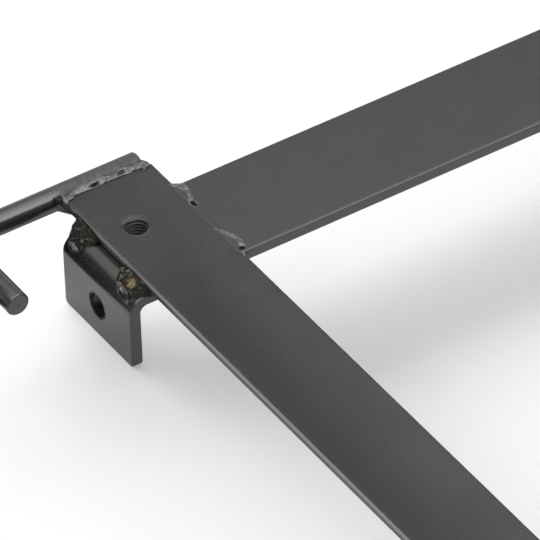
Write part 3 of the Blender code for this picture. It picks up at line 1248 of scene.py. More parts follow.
@dataclass
class SeatThread:
    """The thread cut in a seat hole, through the rail and the flange below it.

    Attributes:
        name: The piece's name.
        centre: The hole's middle, as X and Y.
        top: Height where the thread's lead-in starts.
        bottom: Height where the thread ends.
        coat: Its finish.
        major_radius: Radius at the thread's roots.
        minor_radius: Radius at its crests.
        pitch: Distance between turns.
    """

    name: str
    centre: Flat
    top: float
    bottom: float
    coat: SprayedCoat
    major_radius: float = 4.95 * MM
    minor_radius: float = 4.15 * MM
    pitch: float = 1.5 * MM

    TURN_STEPS = 72
    PITCH_STEPS = 10
    WALL = 0.08 * MM
    LEAD_IN = 0.8 * MM
    RIDGE_TOP = 1.35
    RIDGE_SLOPE = 2.43
    SHADE_START = 0.7

    def build(self) -> bpy.types.Object:
        """Build and dress the thread.

        Returns:
            The new piece.
        """
        skin = Skin()
        depth = self.top - self.bottom
        count = round(depth / self.pitch * self.PITCH_STEPS)
        back = self.major_radius + self.WALL
        rings = [self._circle(skin, back, height) for height in (self.bottom, self.top)]
        rings += [self._thread_ring(skin, self.top - depth * step / count) for step in range(count + 1)]
        skin.chain([*rings, rings[0]])
        return dress(skin.object(self.name), self.coat, Slot.RAIL)

    def _circle(self, skin: Skin, radius: float, height: float) -> list[int]:
        """Lay a plain circle and return its point numbers."""
        return skin.ring([Vector((x, y, height)) for x, y in circle(self.centre, radius, self.TURN_STEPS)])

    def _thread_ring(self, skin: Skin, height: float) -> list[int]:
        """Lay one ring of the thread's wall.

        Args:
            skin: The skin so far.
            height: The ring's height.

        Returns:
            Its point numbers.
        """
        major, deep = self.major_radius, self.major_radius - self.minor_radius
        opened = major - min(self.top - height, height - self.bottom)
        points = []
        for step in range(self.TURN_STEPS):
            turn = 2 * math.pi * step / self.TURN_STEPS
            phase = (height / self.pitch + step / self.TURN_STEPS) % 1.0
            ridge = min(max(self.RIDGE_TOP - self.RIDGE_SLOPE * abs(2 * phase - 1), 0.0), 1.0)
            radius = max(major - deep * ridge, min(opened, major))
            x, y = self.centre[0] + radius * math.cos(turn), self.centre[1] + radius * math.sin(turn)
            points.append(Vector((x, y, height)))
        # Painted shade: deeper in the hole the thread takes the near-black cut tone.
        shade = min(max((self.top - height) / self.LEAD_IN - self.SHADE_START, 0.0), 1.0)
        return skin.ring(points, 0.0, shade)


# Welds


def through(row: Sequence, index: int, share: float) -> object:
    """Read the smooth curve that passes through a row of numbers or points.

    Args:
        row: The numbers or points.
        index: The stretch of the curve, counted from its start.
        share: The place in that stretch, from 0 to 1.

    Returns:
        The number or point there.
    """
    before, start, stop, after = (row[min(max(index + shift, 0), len(row) - 1)] for shift in (-1, 0, 1, 2))
    bend = before * 2 - start * 5 + stop * 4 - after
    twist = start * 3 - before - stop * 3 + after
    return start + ((stop - before) * share + bend * share**2 + twist * share**3) * 0.5


@dataclass(frozen=True)
class Stand:
    """Where a weld's two toes stand at one place along it.

    Attributes:
        near: The toe on the first part.
        far: The toe on the second part.
        swell: How far the weld swells between them, or below 0 how hollow it is.
    """

    near: Vector
    far: Vector
    swell: float


@dataclass(frozen=True)
class Dab:
    """A blob or a pit in a weld.

    Attributes:
        centre: Its middle, seen from above.
        reach: How far it goes along X and along Y.
        height: How far it rises, or sinks where it is below 0.
    """

    centre: Vector
    reach: Flat
    height: float

    FALL = 2.5

    def weight(self, place: Vector) -> float:
        """Give how strongly it acts at a place.

        Args:
            place: The place.

        Returns:
            Its strength, from 0 to 1.
        """
        away_x = (place.x - self.centre.x) / self.reach[0]
        away_y = (place.y - self.centre.y) / self.reach[1]
        return math.exp(-self.FALL * (away_x**2 + away_y**2))


@dataclass
class WeldBead:
    """A weld bead laid between two toe lines.

    Attributes:
        name: The piece's name.
        stands: Its toes, from its start to its end.
        crown: The way it swells.
        softness: How gently its crown runs out at the toes.
        sink: How far its back lies below its toes.
        ripple: Height of the ripples that the torch left.
        ripple_pitch: Distance between ripples.
        rough: Height of the slow unevenness.
        rough_size: Size of that unevenness.
        rub: How strongly a painted highlight runs along its far toe.
        crest_rub: How strongly a painted highlight runs along its crest.
        dabs: Blobs and pits at known places.
        seed: Shifts the unevenness, so that no two beads are the same.
    """

    name: str
    stands: tuple[Stand, ...]
    crown: Vector
    softness: float = 1.2
    sink: float = 0.8 * MM
    ripple: float = 0.03 * MM
    ripple_pitch: float = 1.7 * MM
    rough: float = 0.12 * MM
    rough_size: float = 3.2 * MM
    rub: float = 0.0
    crest_rub: float = 0.0
    dabs: tuple[Dab, ...] = ()
    seed: float = 0.0

    STEP = 0.25 * MM
    ACROSS = 24
    BACK = 6
    BURY = 0.05 * MM
    BLOB_EDGE = 1.5
    BURY_EDGE = 4.0
    RUB_START = 0.74
    RUB_WIDTH = 0.1

    def build(self) -> bpy.types.Object:
        """Build the bead.

        Returns:
            The new object, without a finish.
        """
        skin = Skin()
        middles = [(stand.near + stand.far) / 2 for stand in self.stands]
        rings, gone = [], 0.0
        for index, (start, stop) in enumerate(zip(middles, middles[1:])):
            length = (stop - start).length
            count = max(2, round(length / self.STEP))
            for step in range(count):
                rings.append(self._ring(skin, index, step / count, gone + length * step / count))
            gone += length
        rings.append(self._ring(skin, len(middles) - 2, 1.0, gone))
        skin.chain(rings)
        skin.close(rings[0])
        skin.close(rings[-1])
        return skin.object(self.name)

    def _ring(self, skin: Skin, index: int, share: float, along: float) -> list[int]:
        """Lay the bead's section at one place.

        Args:
            skin: The skin so far.
            index: The stretch between two stands.
            share: The place in that stretch, from 0 to 1.
            along: The distance from the bead's start.

        Returns:
            The numbers of its points: the crown from toe to toe, then the back.
        """
        near = through([stand.near for stand in self.stands], index, share)
        far = through([stand.far for stand in self.stands], index, share)
        swell = through([stand.swell for stand in self.stands], index, share)
        width = (far - near).length
        points, pits, highlights = [], [], []
        for step in range(self.ACROSS + 1):
            t = step / self.ACROSS
            base = near.lerp(far, t)
            hump = (1 - (2 * t - 1) ** 2) ** self.softness
            rise = swell * hump + self._unevenness(along, width * t, t) * hump
            rise += sum(dab.height * dab.weight(base) for dab in self.dabs) * min(1.0, self.BLOB_EDGE * hump)
            points.append(base + self.crown * (rise - self.BURY * (1 - min(1.0, self.BURY_EDGE * hump))))
            # Painted shade: the pit mask feeds the cut tone, which the weld coat paints near-black.
            pits.append(max((dab.weight(base) for dab in self.dabs if dab.height < 0), default=0.0))
            # Painted highlights along the far toe and the crest, carried by the edge attribute.
            toe_lit = self.rub * min(max((t - self.RUB_START) / self.RUB_WIDTH, 0.0), 1.0)
            highlights.append(max(toe_lit, self.crest_rub * hump))
        for step in range(1, self.BACK):
            t = 1 - step / self.BACK
            depth = self.sink * (1 - (2 * t - 1) ** 2) + 1.5 * self.BURY
            points.append(near.lerp(far, t) - self.crown * depth)
        numbers = skin.ring(points)
        for number, pit, rub in zip(numbers, pits, highlights):
            skin.cut[number], skin.edge[number] = pit, rub
        return numbers

    def _unevenness(self, along: float, across: float, t: float) -> float:
        """Give the bead's ripples and slow lumps at one place.

        Args:
            along: The distance from the bead's start.
            across: The distance from its near toe.
            t: The same as a share of its width.

        Returns:
            How far the crown stands out there.
        """
        jitter = 0.6 * noise.noise(Vector((along / (4 * MM), 1.7, self.seed + 3.3)))
        crescent = along / self.ripple_pitch + 0.9 * (2 * t - 1) ** 2 + jitter
        place = Vector((along, across, 0)) / self.rough_size + Vector((0, 0, self.seed * 7.31))
        lumps = noise.noise(place) + 0.25 * noise.noise(place * 2.7)
        return self.ripple * math.cos(2 * math.pi * crescent) + self.rough * lumps


@dataclass
class WeldLump:
    """A rounded clump of weld metal.

    Attributes:
        name: The piece's name.
        centre: Its middle.
        reach: Its half sizes along its own axes.
        turn: Its turn about Z.
        lean: Its turn about its own length.
        rough: How uneven it is, as a share of its size.
        seed: Shifts its unevenness.
    """

    name: str
    centre: Vector
    reach: Size
    turn: float = 0.0
    lean: float = 0.0
    rough: float = 0.06
    seed: float = 0.0

    ROUND = 40
    RISE = 22
    BUMPS = 1.9
    SHIFT = 5.3

    def build(self) -> bpy.types.Object:
        """Build the lump.

        Returns:
            The new object, without a finish.
        """
        skin = Skin()
        placing = Matrix.Rotation(self.turn, 3, "Z") @ Matrix.Rotation(self.lean, 3, "X")
        rings = []
        for level in range(1, self.RISE):
            pitch = math.pi * level / self.RISE
            ring = []
            for step in range(self.ROUND):
                turn = 2 * math.pi * step / self.ROUND
                way = Vector(
                    (math.sin(pitch) * math.cos(turn), math.sin(pitch) * math.sin(turn), math.cos(pitch))
                )
                bump = noise.noise(way * self.BUMPS + Vector((self.seed * self.SHIFT, 0, 0)))
                growth = 1 + self.rough * bump
                local = Vector([extent * part * growth for extent, part in zip(self.reach, way)])
                ring.append(self.centre + placing @ local)
            rings.append(skin.ring(ring))
        skin.chain(rings)
        skin.close(rings[0])
        skin.close(rings[-1])
        return skin.object(self.name)


@dataclass(frozen=True)
class Corner:
    """One corner of the console, with places measured from it in millimetres.

    Attributes:
        side: The side it is on.
        end: The end it is at.
    """

    side: Side
    end: End

    @property
    def label(self) -> str:
        """Give the corner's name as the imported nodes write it."""
        return f"{self.end.label}_{self.side.label}"

    def spot(self, inward: float, back: float, rise: float) -> Vector:
        """Give a place near the corner.

        Args:
            inward: Millimetres from the rail's outer side towards the console's middle.
            back: Millimetres from the rail's end towards the console's middle.
            rise: Millimetres over the rail's top face.

        Returns:
            The place.
        """
        low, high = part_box(f"rail_{self.side.label}")
        x = low.x if self.side is Side.LEFT else high.x
        y = high.y if self.end is End.REAR else low.y
        return Vector((x - self.side.value * inward * MM, y - self.end.value * back * MM, high.z + rise * MM))

    def stands(
        self, *rows: tuple[Place, Place, float], origin: Place = (0, 0, 0)
    ) -> tuple[Stand, ...]:
        """Turn rows into stands.

        Args:
            *rows: The near toe, the far toe and the swell of each.
            origin: The place that their toes are measured from.

        Returns:
            The stands, in the same order.
        """
        stands = []
        for *toes, swell in rows:
            near, far = [self.spot(*(start + part for start, part in zip(origin, toe))) for toe in toes]
            stands.append(Stand(near, far, swell * MM))
        return tuple(stands)

    def dab(self, inward: float, back: float, reach: Flat, height: float) -> Dab:
        """Give a blob or a pit at a place seen from above.

        Args:
            inward: Millimetres from the rail's outer side.
            back: Millimetres from the rail's end.
            reach: How far it goes along X and along Y.
            height: How far it rises, or sinks where it is below 0.

        Returns:
            The blob or pit.
        """
        return Dab(self.spot(inward, back, 0), (reach[0] * MM, reach[1] * MM), height * MM)

    def way(self, inward: float, back: float, rise: float) -> Vector:
        """Give a unit direction, told in the same way as a place.

        Args:
            inward: Its share across the rail, towards the console's middle.
            back: Its share along the rail, towards the console's middle.
            rise: Its share upwards.

        Returns:
            The direction.
        """
        return Vector((-self.side.value * inward, -self.end.value * back, rise)).normalized()


@dataclass
class WeldShop:
    """Lays every weld of the console.

    Lengths in its rows are in millimetres, as a corner's places are.

    Attributes:
        coat: The welds' finish.
        lump_coat: The finish of the lumps on the tabs.
        spotted: The finish of the one lump with a bare place.
        pit_shade: The near-black finish lining burnt pits, painted shade.
        scale: The finish of the pale beads along the seams.
        seam: Distance of a crossbar's seam from the rail's outer side.
        bar_start: Distance of a crossbar's outer edge from the rail's end.
        bar_stop: Distance of its inner edge.
        tab_start: Distance of a tab's outer edge from the rail's end.
        tab_stop: Distance of its inner edge.
        underside: Height of the rail's underside.
        bend_out: Distance of the tab bend's middle from the rail's outer side.
        bend_rise: Its height.
        bend_radius: Its outer radius.
        rod_back: Distance of the rod's middle from the rail's end.
        rod_rise: Its height.
        rod_radius: Its radius.
    """

    coat: SprayedCoat
    lump_coat: SprayedCoat
    spotted: SprayedCoat
    pit_shade: SprayedCoat
    scale: SprayedCoat
    seam: float = 40.0
    bar_start: float = 17.4
    bar_stop: float = 67.4
    tab_start: float = 12.7
    tab_stop: float = 62.7
    underside: float = -5.0
    bend_out: float = -1.7
    bend_rise: float = -13.3
    bend_radius: float = 8.0
    rod_back: float = -5.3
    rod_rise: float = -2.5
    rod_radius: float = 5.0

    OUTER_SEAM = (
        ((-1.2, -4.8, 0), (0.1, -4.8, -1.0), 0.1),
        ((-1.6, -2.4, 0), (1.1, -2.6, -1.5), 0.5),
        ((-1.0, -0.2, 0), (2.8, -1.0, -1.2), 0.7),
        ((0.1, 2.0, 0), (3.9, 0.7, -0.1), 0.8),
        ((0.8, 4.8, 0), (4.0, 4.0, 0), 0.7),
        ((0.6, 7.6, 0), (3.4, 7.4, 0), 0.6),
        ((-0.7, 10.4, 0), (2.2, 10.4, 0), 0.5),
        ((-1.6, 13.6, 0), (2.0, 13.6, 0), 0.4),
        ((-0.6, 16.6, 0), (0.8, 16.6, 0), 0.1),
    )
    INNER_SEAM = (
        ((-1.9, -18.6, 0), (-1.1, -18.8, 0), 0.15),
        ((-0.9, -14.8, 0), (1.0, -15.4, 0), 0.5),
        ((0.8, -10.2, 0), (3.4, -10.8, 0), 0.6),
        ((0.9, -5.6, 0), (3.8, -6.0, 0), 0.6),
        ((-0.4, -2.4, 0), (3.0, -2.4, 0), 0.4),
        ((-1.0, 1.2, 0), (1.5, 1.4, -1.4), 0.5),
        ((-0.8, 4.0, 0), (0.1, 4.0, -1.0), 0.1),
    )

    def lay(
        self, bead: WeldBead | WeldLump, *nodes: str, coat: SprayedCoat | None = None
    ) -> bpy.types.Object:
        """Build one bead or lump and dress it.

        Args:
            bead: The bead or lump.
            *nodes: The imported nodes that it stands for.
            coat: Its finish, where it isn't the welds' own.

        Returns:
            The new piece.
        """
        return dress(bead.build(), coat or self.coat, Slot.WELD, *nodes)

    def lump(self, name: str, corner: Corner, place: Place, reach: Size, **shape: float) -> WeldLump:
        """Shape one lump near a corner.

        Args:
            name: The piece's name.
            corner: The corner that it is at.
            place: Its middle.
            reach: Its half sizes.
            **shape: Its turn, lean, roughness and seed.

        Returns:
            The lump.
        """
        return WeldLump(name, corner.spot(*place), tuple(extent * MM for extent in reach), **shape)

    def burn(self, corner: Corner, name: str, place: Place, reach: Size) -> None:
        """Line one burnt pit at the end of a seam bead with a near-black lump, as painted shade.

        Args:
            corner: The corner that it is at.
            name: The bead's own name.
            place: The pit's middle.
            reach: Its half sizes.
        """
        lining = self.lump(f"seam_pit_{corner.label}_{name}", corner, place, reach, seed=place[1])
        self.lay(lining, coat=self.pit_shade)

    def on_bend(self, inward: float, back: float) -> Place:
        """Give a place on the outside of a tab's bend.

        Args:
            inward: Millimetres from the rail's outer side.
            back: Millimetres from the rail's end.

        Returns:
            The place, with its rise.
        """
        return inward, back, self.bend_rise + math.sqrt(self.bend_radius**2 - (inward - self.bend_out) ** 2)

    def on_rod(self, inward: float, back: float, up: int = 1) -> Place:
        """Give a place on a rod.

        Args:
            inward: Millimetres from the rail's outer side.
            back: Millimetres from the rail's end.
            up: 1 for its top, -1 for its underside.

        Returns:
            The place, with its rise.
        """
        reach = math.sqrt(max(self.rod_radius**2 - (back - self.rod_back) ** 2, 0.0))
        return inward, back, self.rod_rise + up * reach

    def weld_crossbar(self, corner: Corner) -> None:
        """Weld one end of a crossbar to its rail.

        Args:
            corner: The corner that it is at.
        """
        seam, start, stop = self.seam, self.bar_start, self.bar_stop
        seed = 1.0 + corner.side.value * 0.37 + corner.end.value * 0.21
        for index, (place, edge, rows, pit, reach, lining) in enumerate(
            (
                ("outer", start, self.OUTER_SEAM, (0.2, 13.6), (1.3, 2.4), (1.1, 2.1, 0.16)),
                ("inner", stop, self.INNER_SEAM, (1.0, -2.4), (1.6, 1.6), (1.4, 1.3, 0.16)),
            )
        ):
            middle = (seam + pit[0], edge + pit[1])
            bead = WeldBead(
                f"seam_bead_{corner.label}_{place}",
                corner.stands(*rows, origin=(seam, edge, 0)),
                Vector((0, 0, 1)),
                rough=0.16 * MM,
                rough_size=1.8 * MM,
                crest_rub=1.0,
                dabs=(corner.dab(*middle, reach, -1.2),),
                seed=seed + 0.5 * index,
            )
            self.lay(bead, f"seam_weld_{corner.label}_{place}", coat=self.scale)
            self.burn(corner, place, (*middle, 0), lining)
        low = self.underside
        under = WeldBead(
            f"seam_bead_{corner.label}_under",
            corner.stands(
                ((seam - 0.8, start + 0.6, low), (seam + 0.8, start + 0.6, low), 0.1),
                ((seam - 2.6, start + 3.0, low), (seam + 2.3, start + 3.0, low), 1.0),
                ((seam - 2.2, start + 17.0, low), (seam + 2.7, start + 17.0, low), 1.1),
                ((seam - 2.7, start + 33.0, low), (seam + 2.2, start + 33.0, low), 1.0),
                ((seam - 2.3, stop - 3.0, low), (seam + 2.6, stop - 3.0, low), 1.1),
                ((seam - 0.8, stop - 0.6, low), (seam + 0.8, stop - 0.6, low), 0.1),
            ),
            Vector((0, 0, -1)),
            ripple=0.08 * MM,
            seed=seed + 0.9,
        )
        self.lay(under, f"seam_weld_{corner.label}_under")
        fill = WeldBead(
            f"seam_fill_{corner.label}",
            corner.stands(
                ((seam - 1.5, start + 1.0, -0.01), (seam + 1.5, start + 1.0, -0.01), 0.06),
                ((seam - 1.5, start + 25.0, -0.01), (seam + 1.5, start + 25.0, -0.01), 0.06),
                ((seam - 1.5, stop - 1.0, -0.01), (seam + 1.5, stop - 1.0, -0.01), 0.06),
            ),
            Vector((0, 0, 1)),
            ripple=0.0,
            rough=0.03 * MM,
            rough_size=6 * MM,
            seed=seed + 1.3,
        )
        self.lay(fill)

    def weld_tab(self, corner: Corner) -> None:
        """Weld one tab to its rail.

        Args:
            corner: The corner that it is at.
        """
        start, stop, low = self.tab_start, self.tab_stop, self.underside
        seed = 2.0 + corner.side.value * 0.31 + corner.end.value * 0.17
        crown = corner.way(-0.72, 0, 0.69)
        lumps = {
            "outer": (
                ((0, start - 6.0, -1.8), (0.2, start - 6.0, low + 0.6), 0.2),
                ((0, start - 3.2, -1.2), (0.1, start - 3.2, low - 0.2), 0.7),
                ((0, start + 0.1, -1.0), self.on_bend(-6.4, start + 0.1), 1.5),
                ((0, start + 3.4, -1.2), self.on_bend(-8.9, start + 3.4), 1.4),
                ((0, start + 7.4, -1.5), self.on_bend(-8.9, start + 7.4), 1.4),
                ((0, start + 10.4, -2.2), self.on_bend(-7.2, start + 10.4), 1.1),
                ((0, start + 12.4, -3.6), self.on_bend(-3.4, start + 12.4), 0.2),
            ),
            "inner": (
                ((0, stop - 19.0, -3.8), self.on_bend(-2.2, stop - 19.0), 0.2),
                ((0, stop - 15.8, -2.6), self.on_bend(-6.0, stop - 15.8), 1.2),
                ((0, stop - 11.6, -2.0), self.on_bend(-8.3, stop - 11.6), 1.7),
                ((0, stop - 7.0, -2.2), self.on_bend(-8.7, stop - 7.0), 1.6),
                ((0, stop - 3.2, -2.8), self.on_bend(-8.4, stop - 3.2), 1.1),
                ((0, stop - 0.9, -3.6), self.on_bend(-5.4, stop - 0.9), 0.7),
                ((0, stop + 0.4, -4.2), (-1.6, stop + 0.4, low - 0.6), 0.1),
            ),
        }
        for index, (place, rows) in enumerate(lumps.items()):
            spotted = corner.side is Side.LEFT and corner.end is End.REAR and place == "inner"
            bead = WeldBead(
                f"tab_bead_{corner.label}_{place}",
                corner.stands(*rows),
                crown,
                softness=0.9,
                sink=3.0 * MM,
                ripple=0.0,
                rough=0.50 * MM,
                rough_size=2.1 * MM,
                rub=0.9,
                seed=seed + 0.6 * index,
            )
            coat = self.spotted if spotted else self.lump_coat
            self.lay(bead, f"tab_weld_{corner.label}_{place}", coat=coat)
        for place, middle, reach in (
            ("outer", (-8.2, start + 6.5, -7.0), (0.8, 2.9, 0.8)),
            ("inner", (-7.5, stop - 9.1, -5.0), (0.9, 4.0, 0.9)),
        ):
            splash = self.lump(
                f"tab_splash_{corner.label}_{place}",
                corner,
                middle,
                reach,
                turn=corner.side.value * corner.end.value * 0.08,
                rough=0.7,
                seed=seed + 0.3,
            )
            self.lay(splash, coat=self.scale)
        tab_low, tab_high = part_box(f"tab_{corner.label}")
        edge = (tab_high.x - tab_low.x) / MM - (self.bend_radius - self.bend_out)
        flange = WeldBead(
            f"flange_bead_{corner.label}",
            corner.stands(
                ((edge + 1.2, start + 4.0, low), (edge - 0.1, start + 4.0, low - 1.6), 0.1),
                ((edge + 2.8, start + 8.0, low), (edge - 0.1, start + 8.0, low - 3.4), 0.7),
                ((edge + 2.4, start + 25.0, low), (edge - 0.1, start + 25.0, low - 3.0), 0.8),
                ((edge + 2.8, stop - 8.0, low), (edge - 0.1, stop - 8.0, low - 3.4), 0.7),
                ((edge + 1.2, stop - 4.0, low), (edge - 0.1, stop - 4.0, low - 1.6), 0.1),
            ),
            corner.way(0.72, 0, -0.69),
            sink=1.2 * MM,
            ripple=0.10 * MM,
            seed=seed + 1.7,
        )
        self.lay(flange, f"flange_weld_{corner.label}")

    def weld_rod(self, side: Side) -> None:
        """Weld one hook rod to the rear end of its rail.

        Args:
            side: The side that it is on.
        """
        corner, label = Corner(side, End.REAR), side.label
        seed, low = 4.0 + side.value * 0.43, self.underside
        top = WeldBead(
            f"rod_bead_{label}_top",
            corner.stands(
                ((-1.2, 0.9, -0.5), self.on_rod(-1.0, -1.0), 0.1),
                ((0.6, 1.7, 0), self.on_rod(2.4, -1.6), 0.4),
                ((4.4, 0.6, 0), self.on_rod(5.6, -1.9), 0.2),
                ((7.4, 0.4, 0), self.on_rod(9.0, -2.6), 0.25),
                ((11.0, 0.6, 0), self.on_rod(12.4, -2.4), 0.35),
                ((14.6, 0.8, 0), self.on_rod(16.2, -2.6), 0.2),
                ((18.5, 0.5, 0), self.on_rod(20.1, -2.1), 0.3),
                ((22.9, 0.3, 0), self.on_rod(23.9, -1.5), 0.05),
                ((26.2, 0.3, 0), self.on_rod(27.9, -2.5), 0.15),
                ((29.5, 0.9, 0), self.on_rod(31.3, -1.9), 0.3),
                ((33.8, 0.5, 0), self.on_rod(34.9, -1.8), 0.2),
                ((37.2, 1.8, 0), self.on_rod(37.2, -2.2), 0.3),
                ((39.3, 1.6, -0.4), self.on_rod(38.4, -1.2), 0.1),
            ),
            corner.way(0, 0.33, 0.94),
            softness=1.0,
            sink=2.0 * MM,
            ripple=0.03 * MM,
            ripple_pitch=2.4 * MM,
            rough=0.24 * MM,
            rough_size=1.5 * MM,
            crest_rub=0.7,
            dabs=(
                corner.dab(14.4, -0.3, (2.6, 0.8), -1.5),
                corner.dab(26.6, -0.9, (2.0, 0.7), -1.4),
            ),
            seed=seed,
        )
        self.lay(top, f"rod_weld_{label}_top")
        under = WeldBead(
            f"rod_bead_{label}_under",
            corner.stands(
                ((0.6, 0.8, low), self.on_rod(0.6, -2.0, -1), 0.2),
                ((3.0, 1.8, low), self.on_rod(3.0, -2.8, -1), 0.7),
                ((14.0, 1.3, low), self.on_rod(14.0, -3.2, -1), 0.5),
                ((25.0, 1.8, low), self.on_rod(25.0, -2.7, -1), 0.6),
                ((35.0, 1.6, low), self.on_rod(34.0, -3.0, -1), 0.7),
                ((37.6, 0.8, low), self.on_rod(36.6, -2.2, -1), 0.2),
            ),
            corner.way(0, 0.33, -0.94),
            sink=2.0 * MM,
            ripple=0.08 * MM,
            seed=seed + 0.4,
        )
        self.lay(under, f"rod_weld_{label}_under")
        outer = WeldBead(
            f"rod_fillet_{label}_side",
            corner.stands(
                ((0.6, 4.6, low + 0.1), (-0.9, -1.0, low - 1.1), 0.2),
                ((0, 5.2, low + 0.6), (-3.0, -0.8, low - 0.2), 0.3),
                ((0, 4.2, -2.6), (-3.8, -0.6, -2.6), -0.1),
                ((0, 3.0, -1.0), (-3.4, -0.9, -0.6), -0.1),
                ((0.2, 2.0, -0.1), (-2.4, -1.4, 0.5), 0.1),
                ((0.6, 1.6, 0.05), (-1.4, -2.0, 1.1), 0.2),
                ((0.9, 0.9, 0.2), (-0.4, -2.2, 1.3), 0.1),
                ((1.2, 0.3, 0.3), (0.4, -1.9, 1.1), 0.1),
            ),
            corner.way(-0.6, 0.5, 0.62),
            softness=1.0,
            sink=1.0 * MM,
            ripple=0.0,
            rough=0.28 * MM,
            rough_size=1.7 * MM,
            seed=seed + 0.6,
        )
        self.lay(outer, f"rod_weld_{label}_side")
        drip = self.lump(
            f"rod_lump_{label}_side",
            corner,
            (-2.1, -1.6, -0.5),
            (2.6, 3.3, 1.9),
            turn=side.value * 0.5,
            lean=math.radians(-35),
            rough=0.32,
            seed=seed + 0.2,
        )
        self.lay(drip, coat=self.lump_coat)
        for place, middle, reach in (
            ("outer", (2.4, 0.5, 0.1), (1.6, 1.3, 0.8)),
            ("inner", (36.6, 0.4, 0.2), (2.2, 1.8, 0.7)),
        ):
            shape = {"turn": 0.4, "rough": 0.3, "seed": seed + middle[0]}
            blob = self.lump(f"rod_blob_{label}_{place}", corner, middle, reach, **shape)
            self.lay(blob, coat=self.scale)
        place, reach = (self.seam - 2.2, -0.9, -2.0), (2.2, 3.8, 2.5)
        self.lay(self.lump(f"rod_lump_{label}_end", corner, place, reach, seed=seed + 0.8))


# Studio


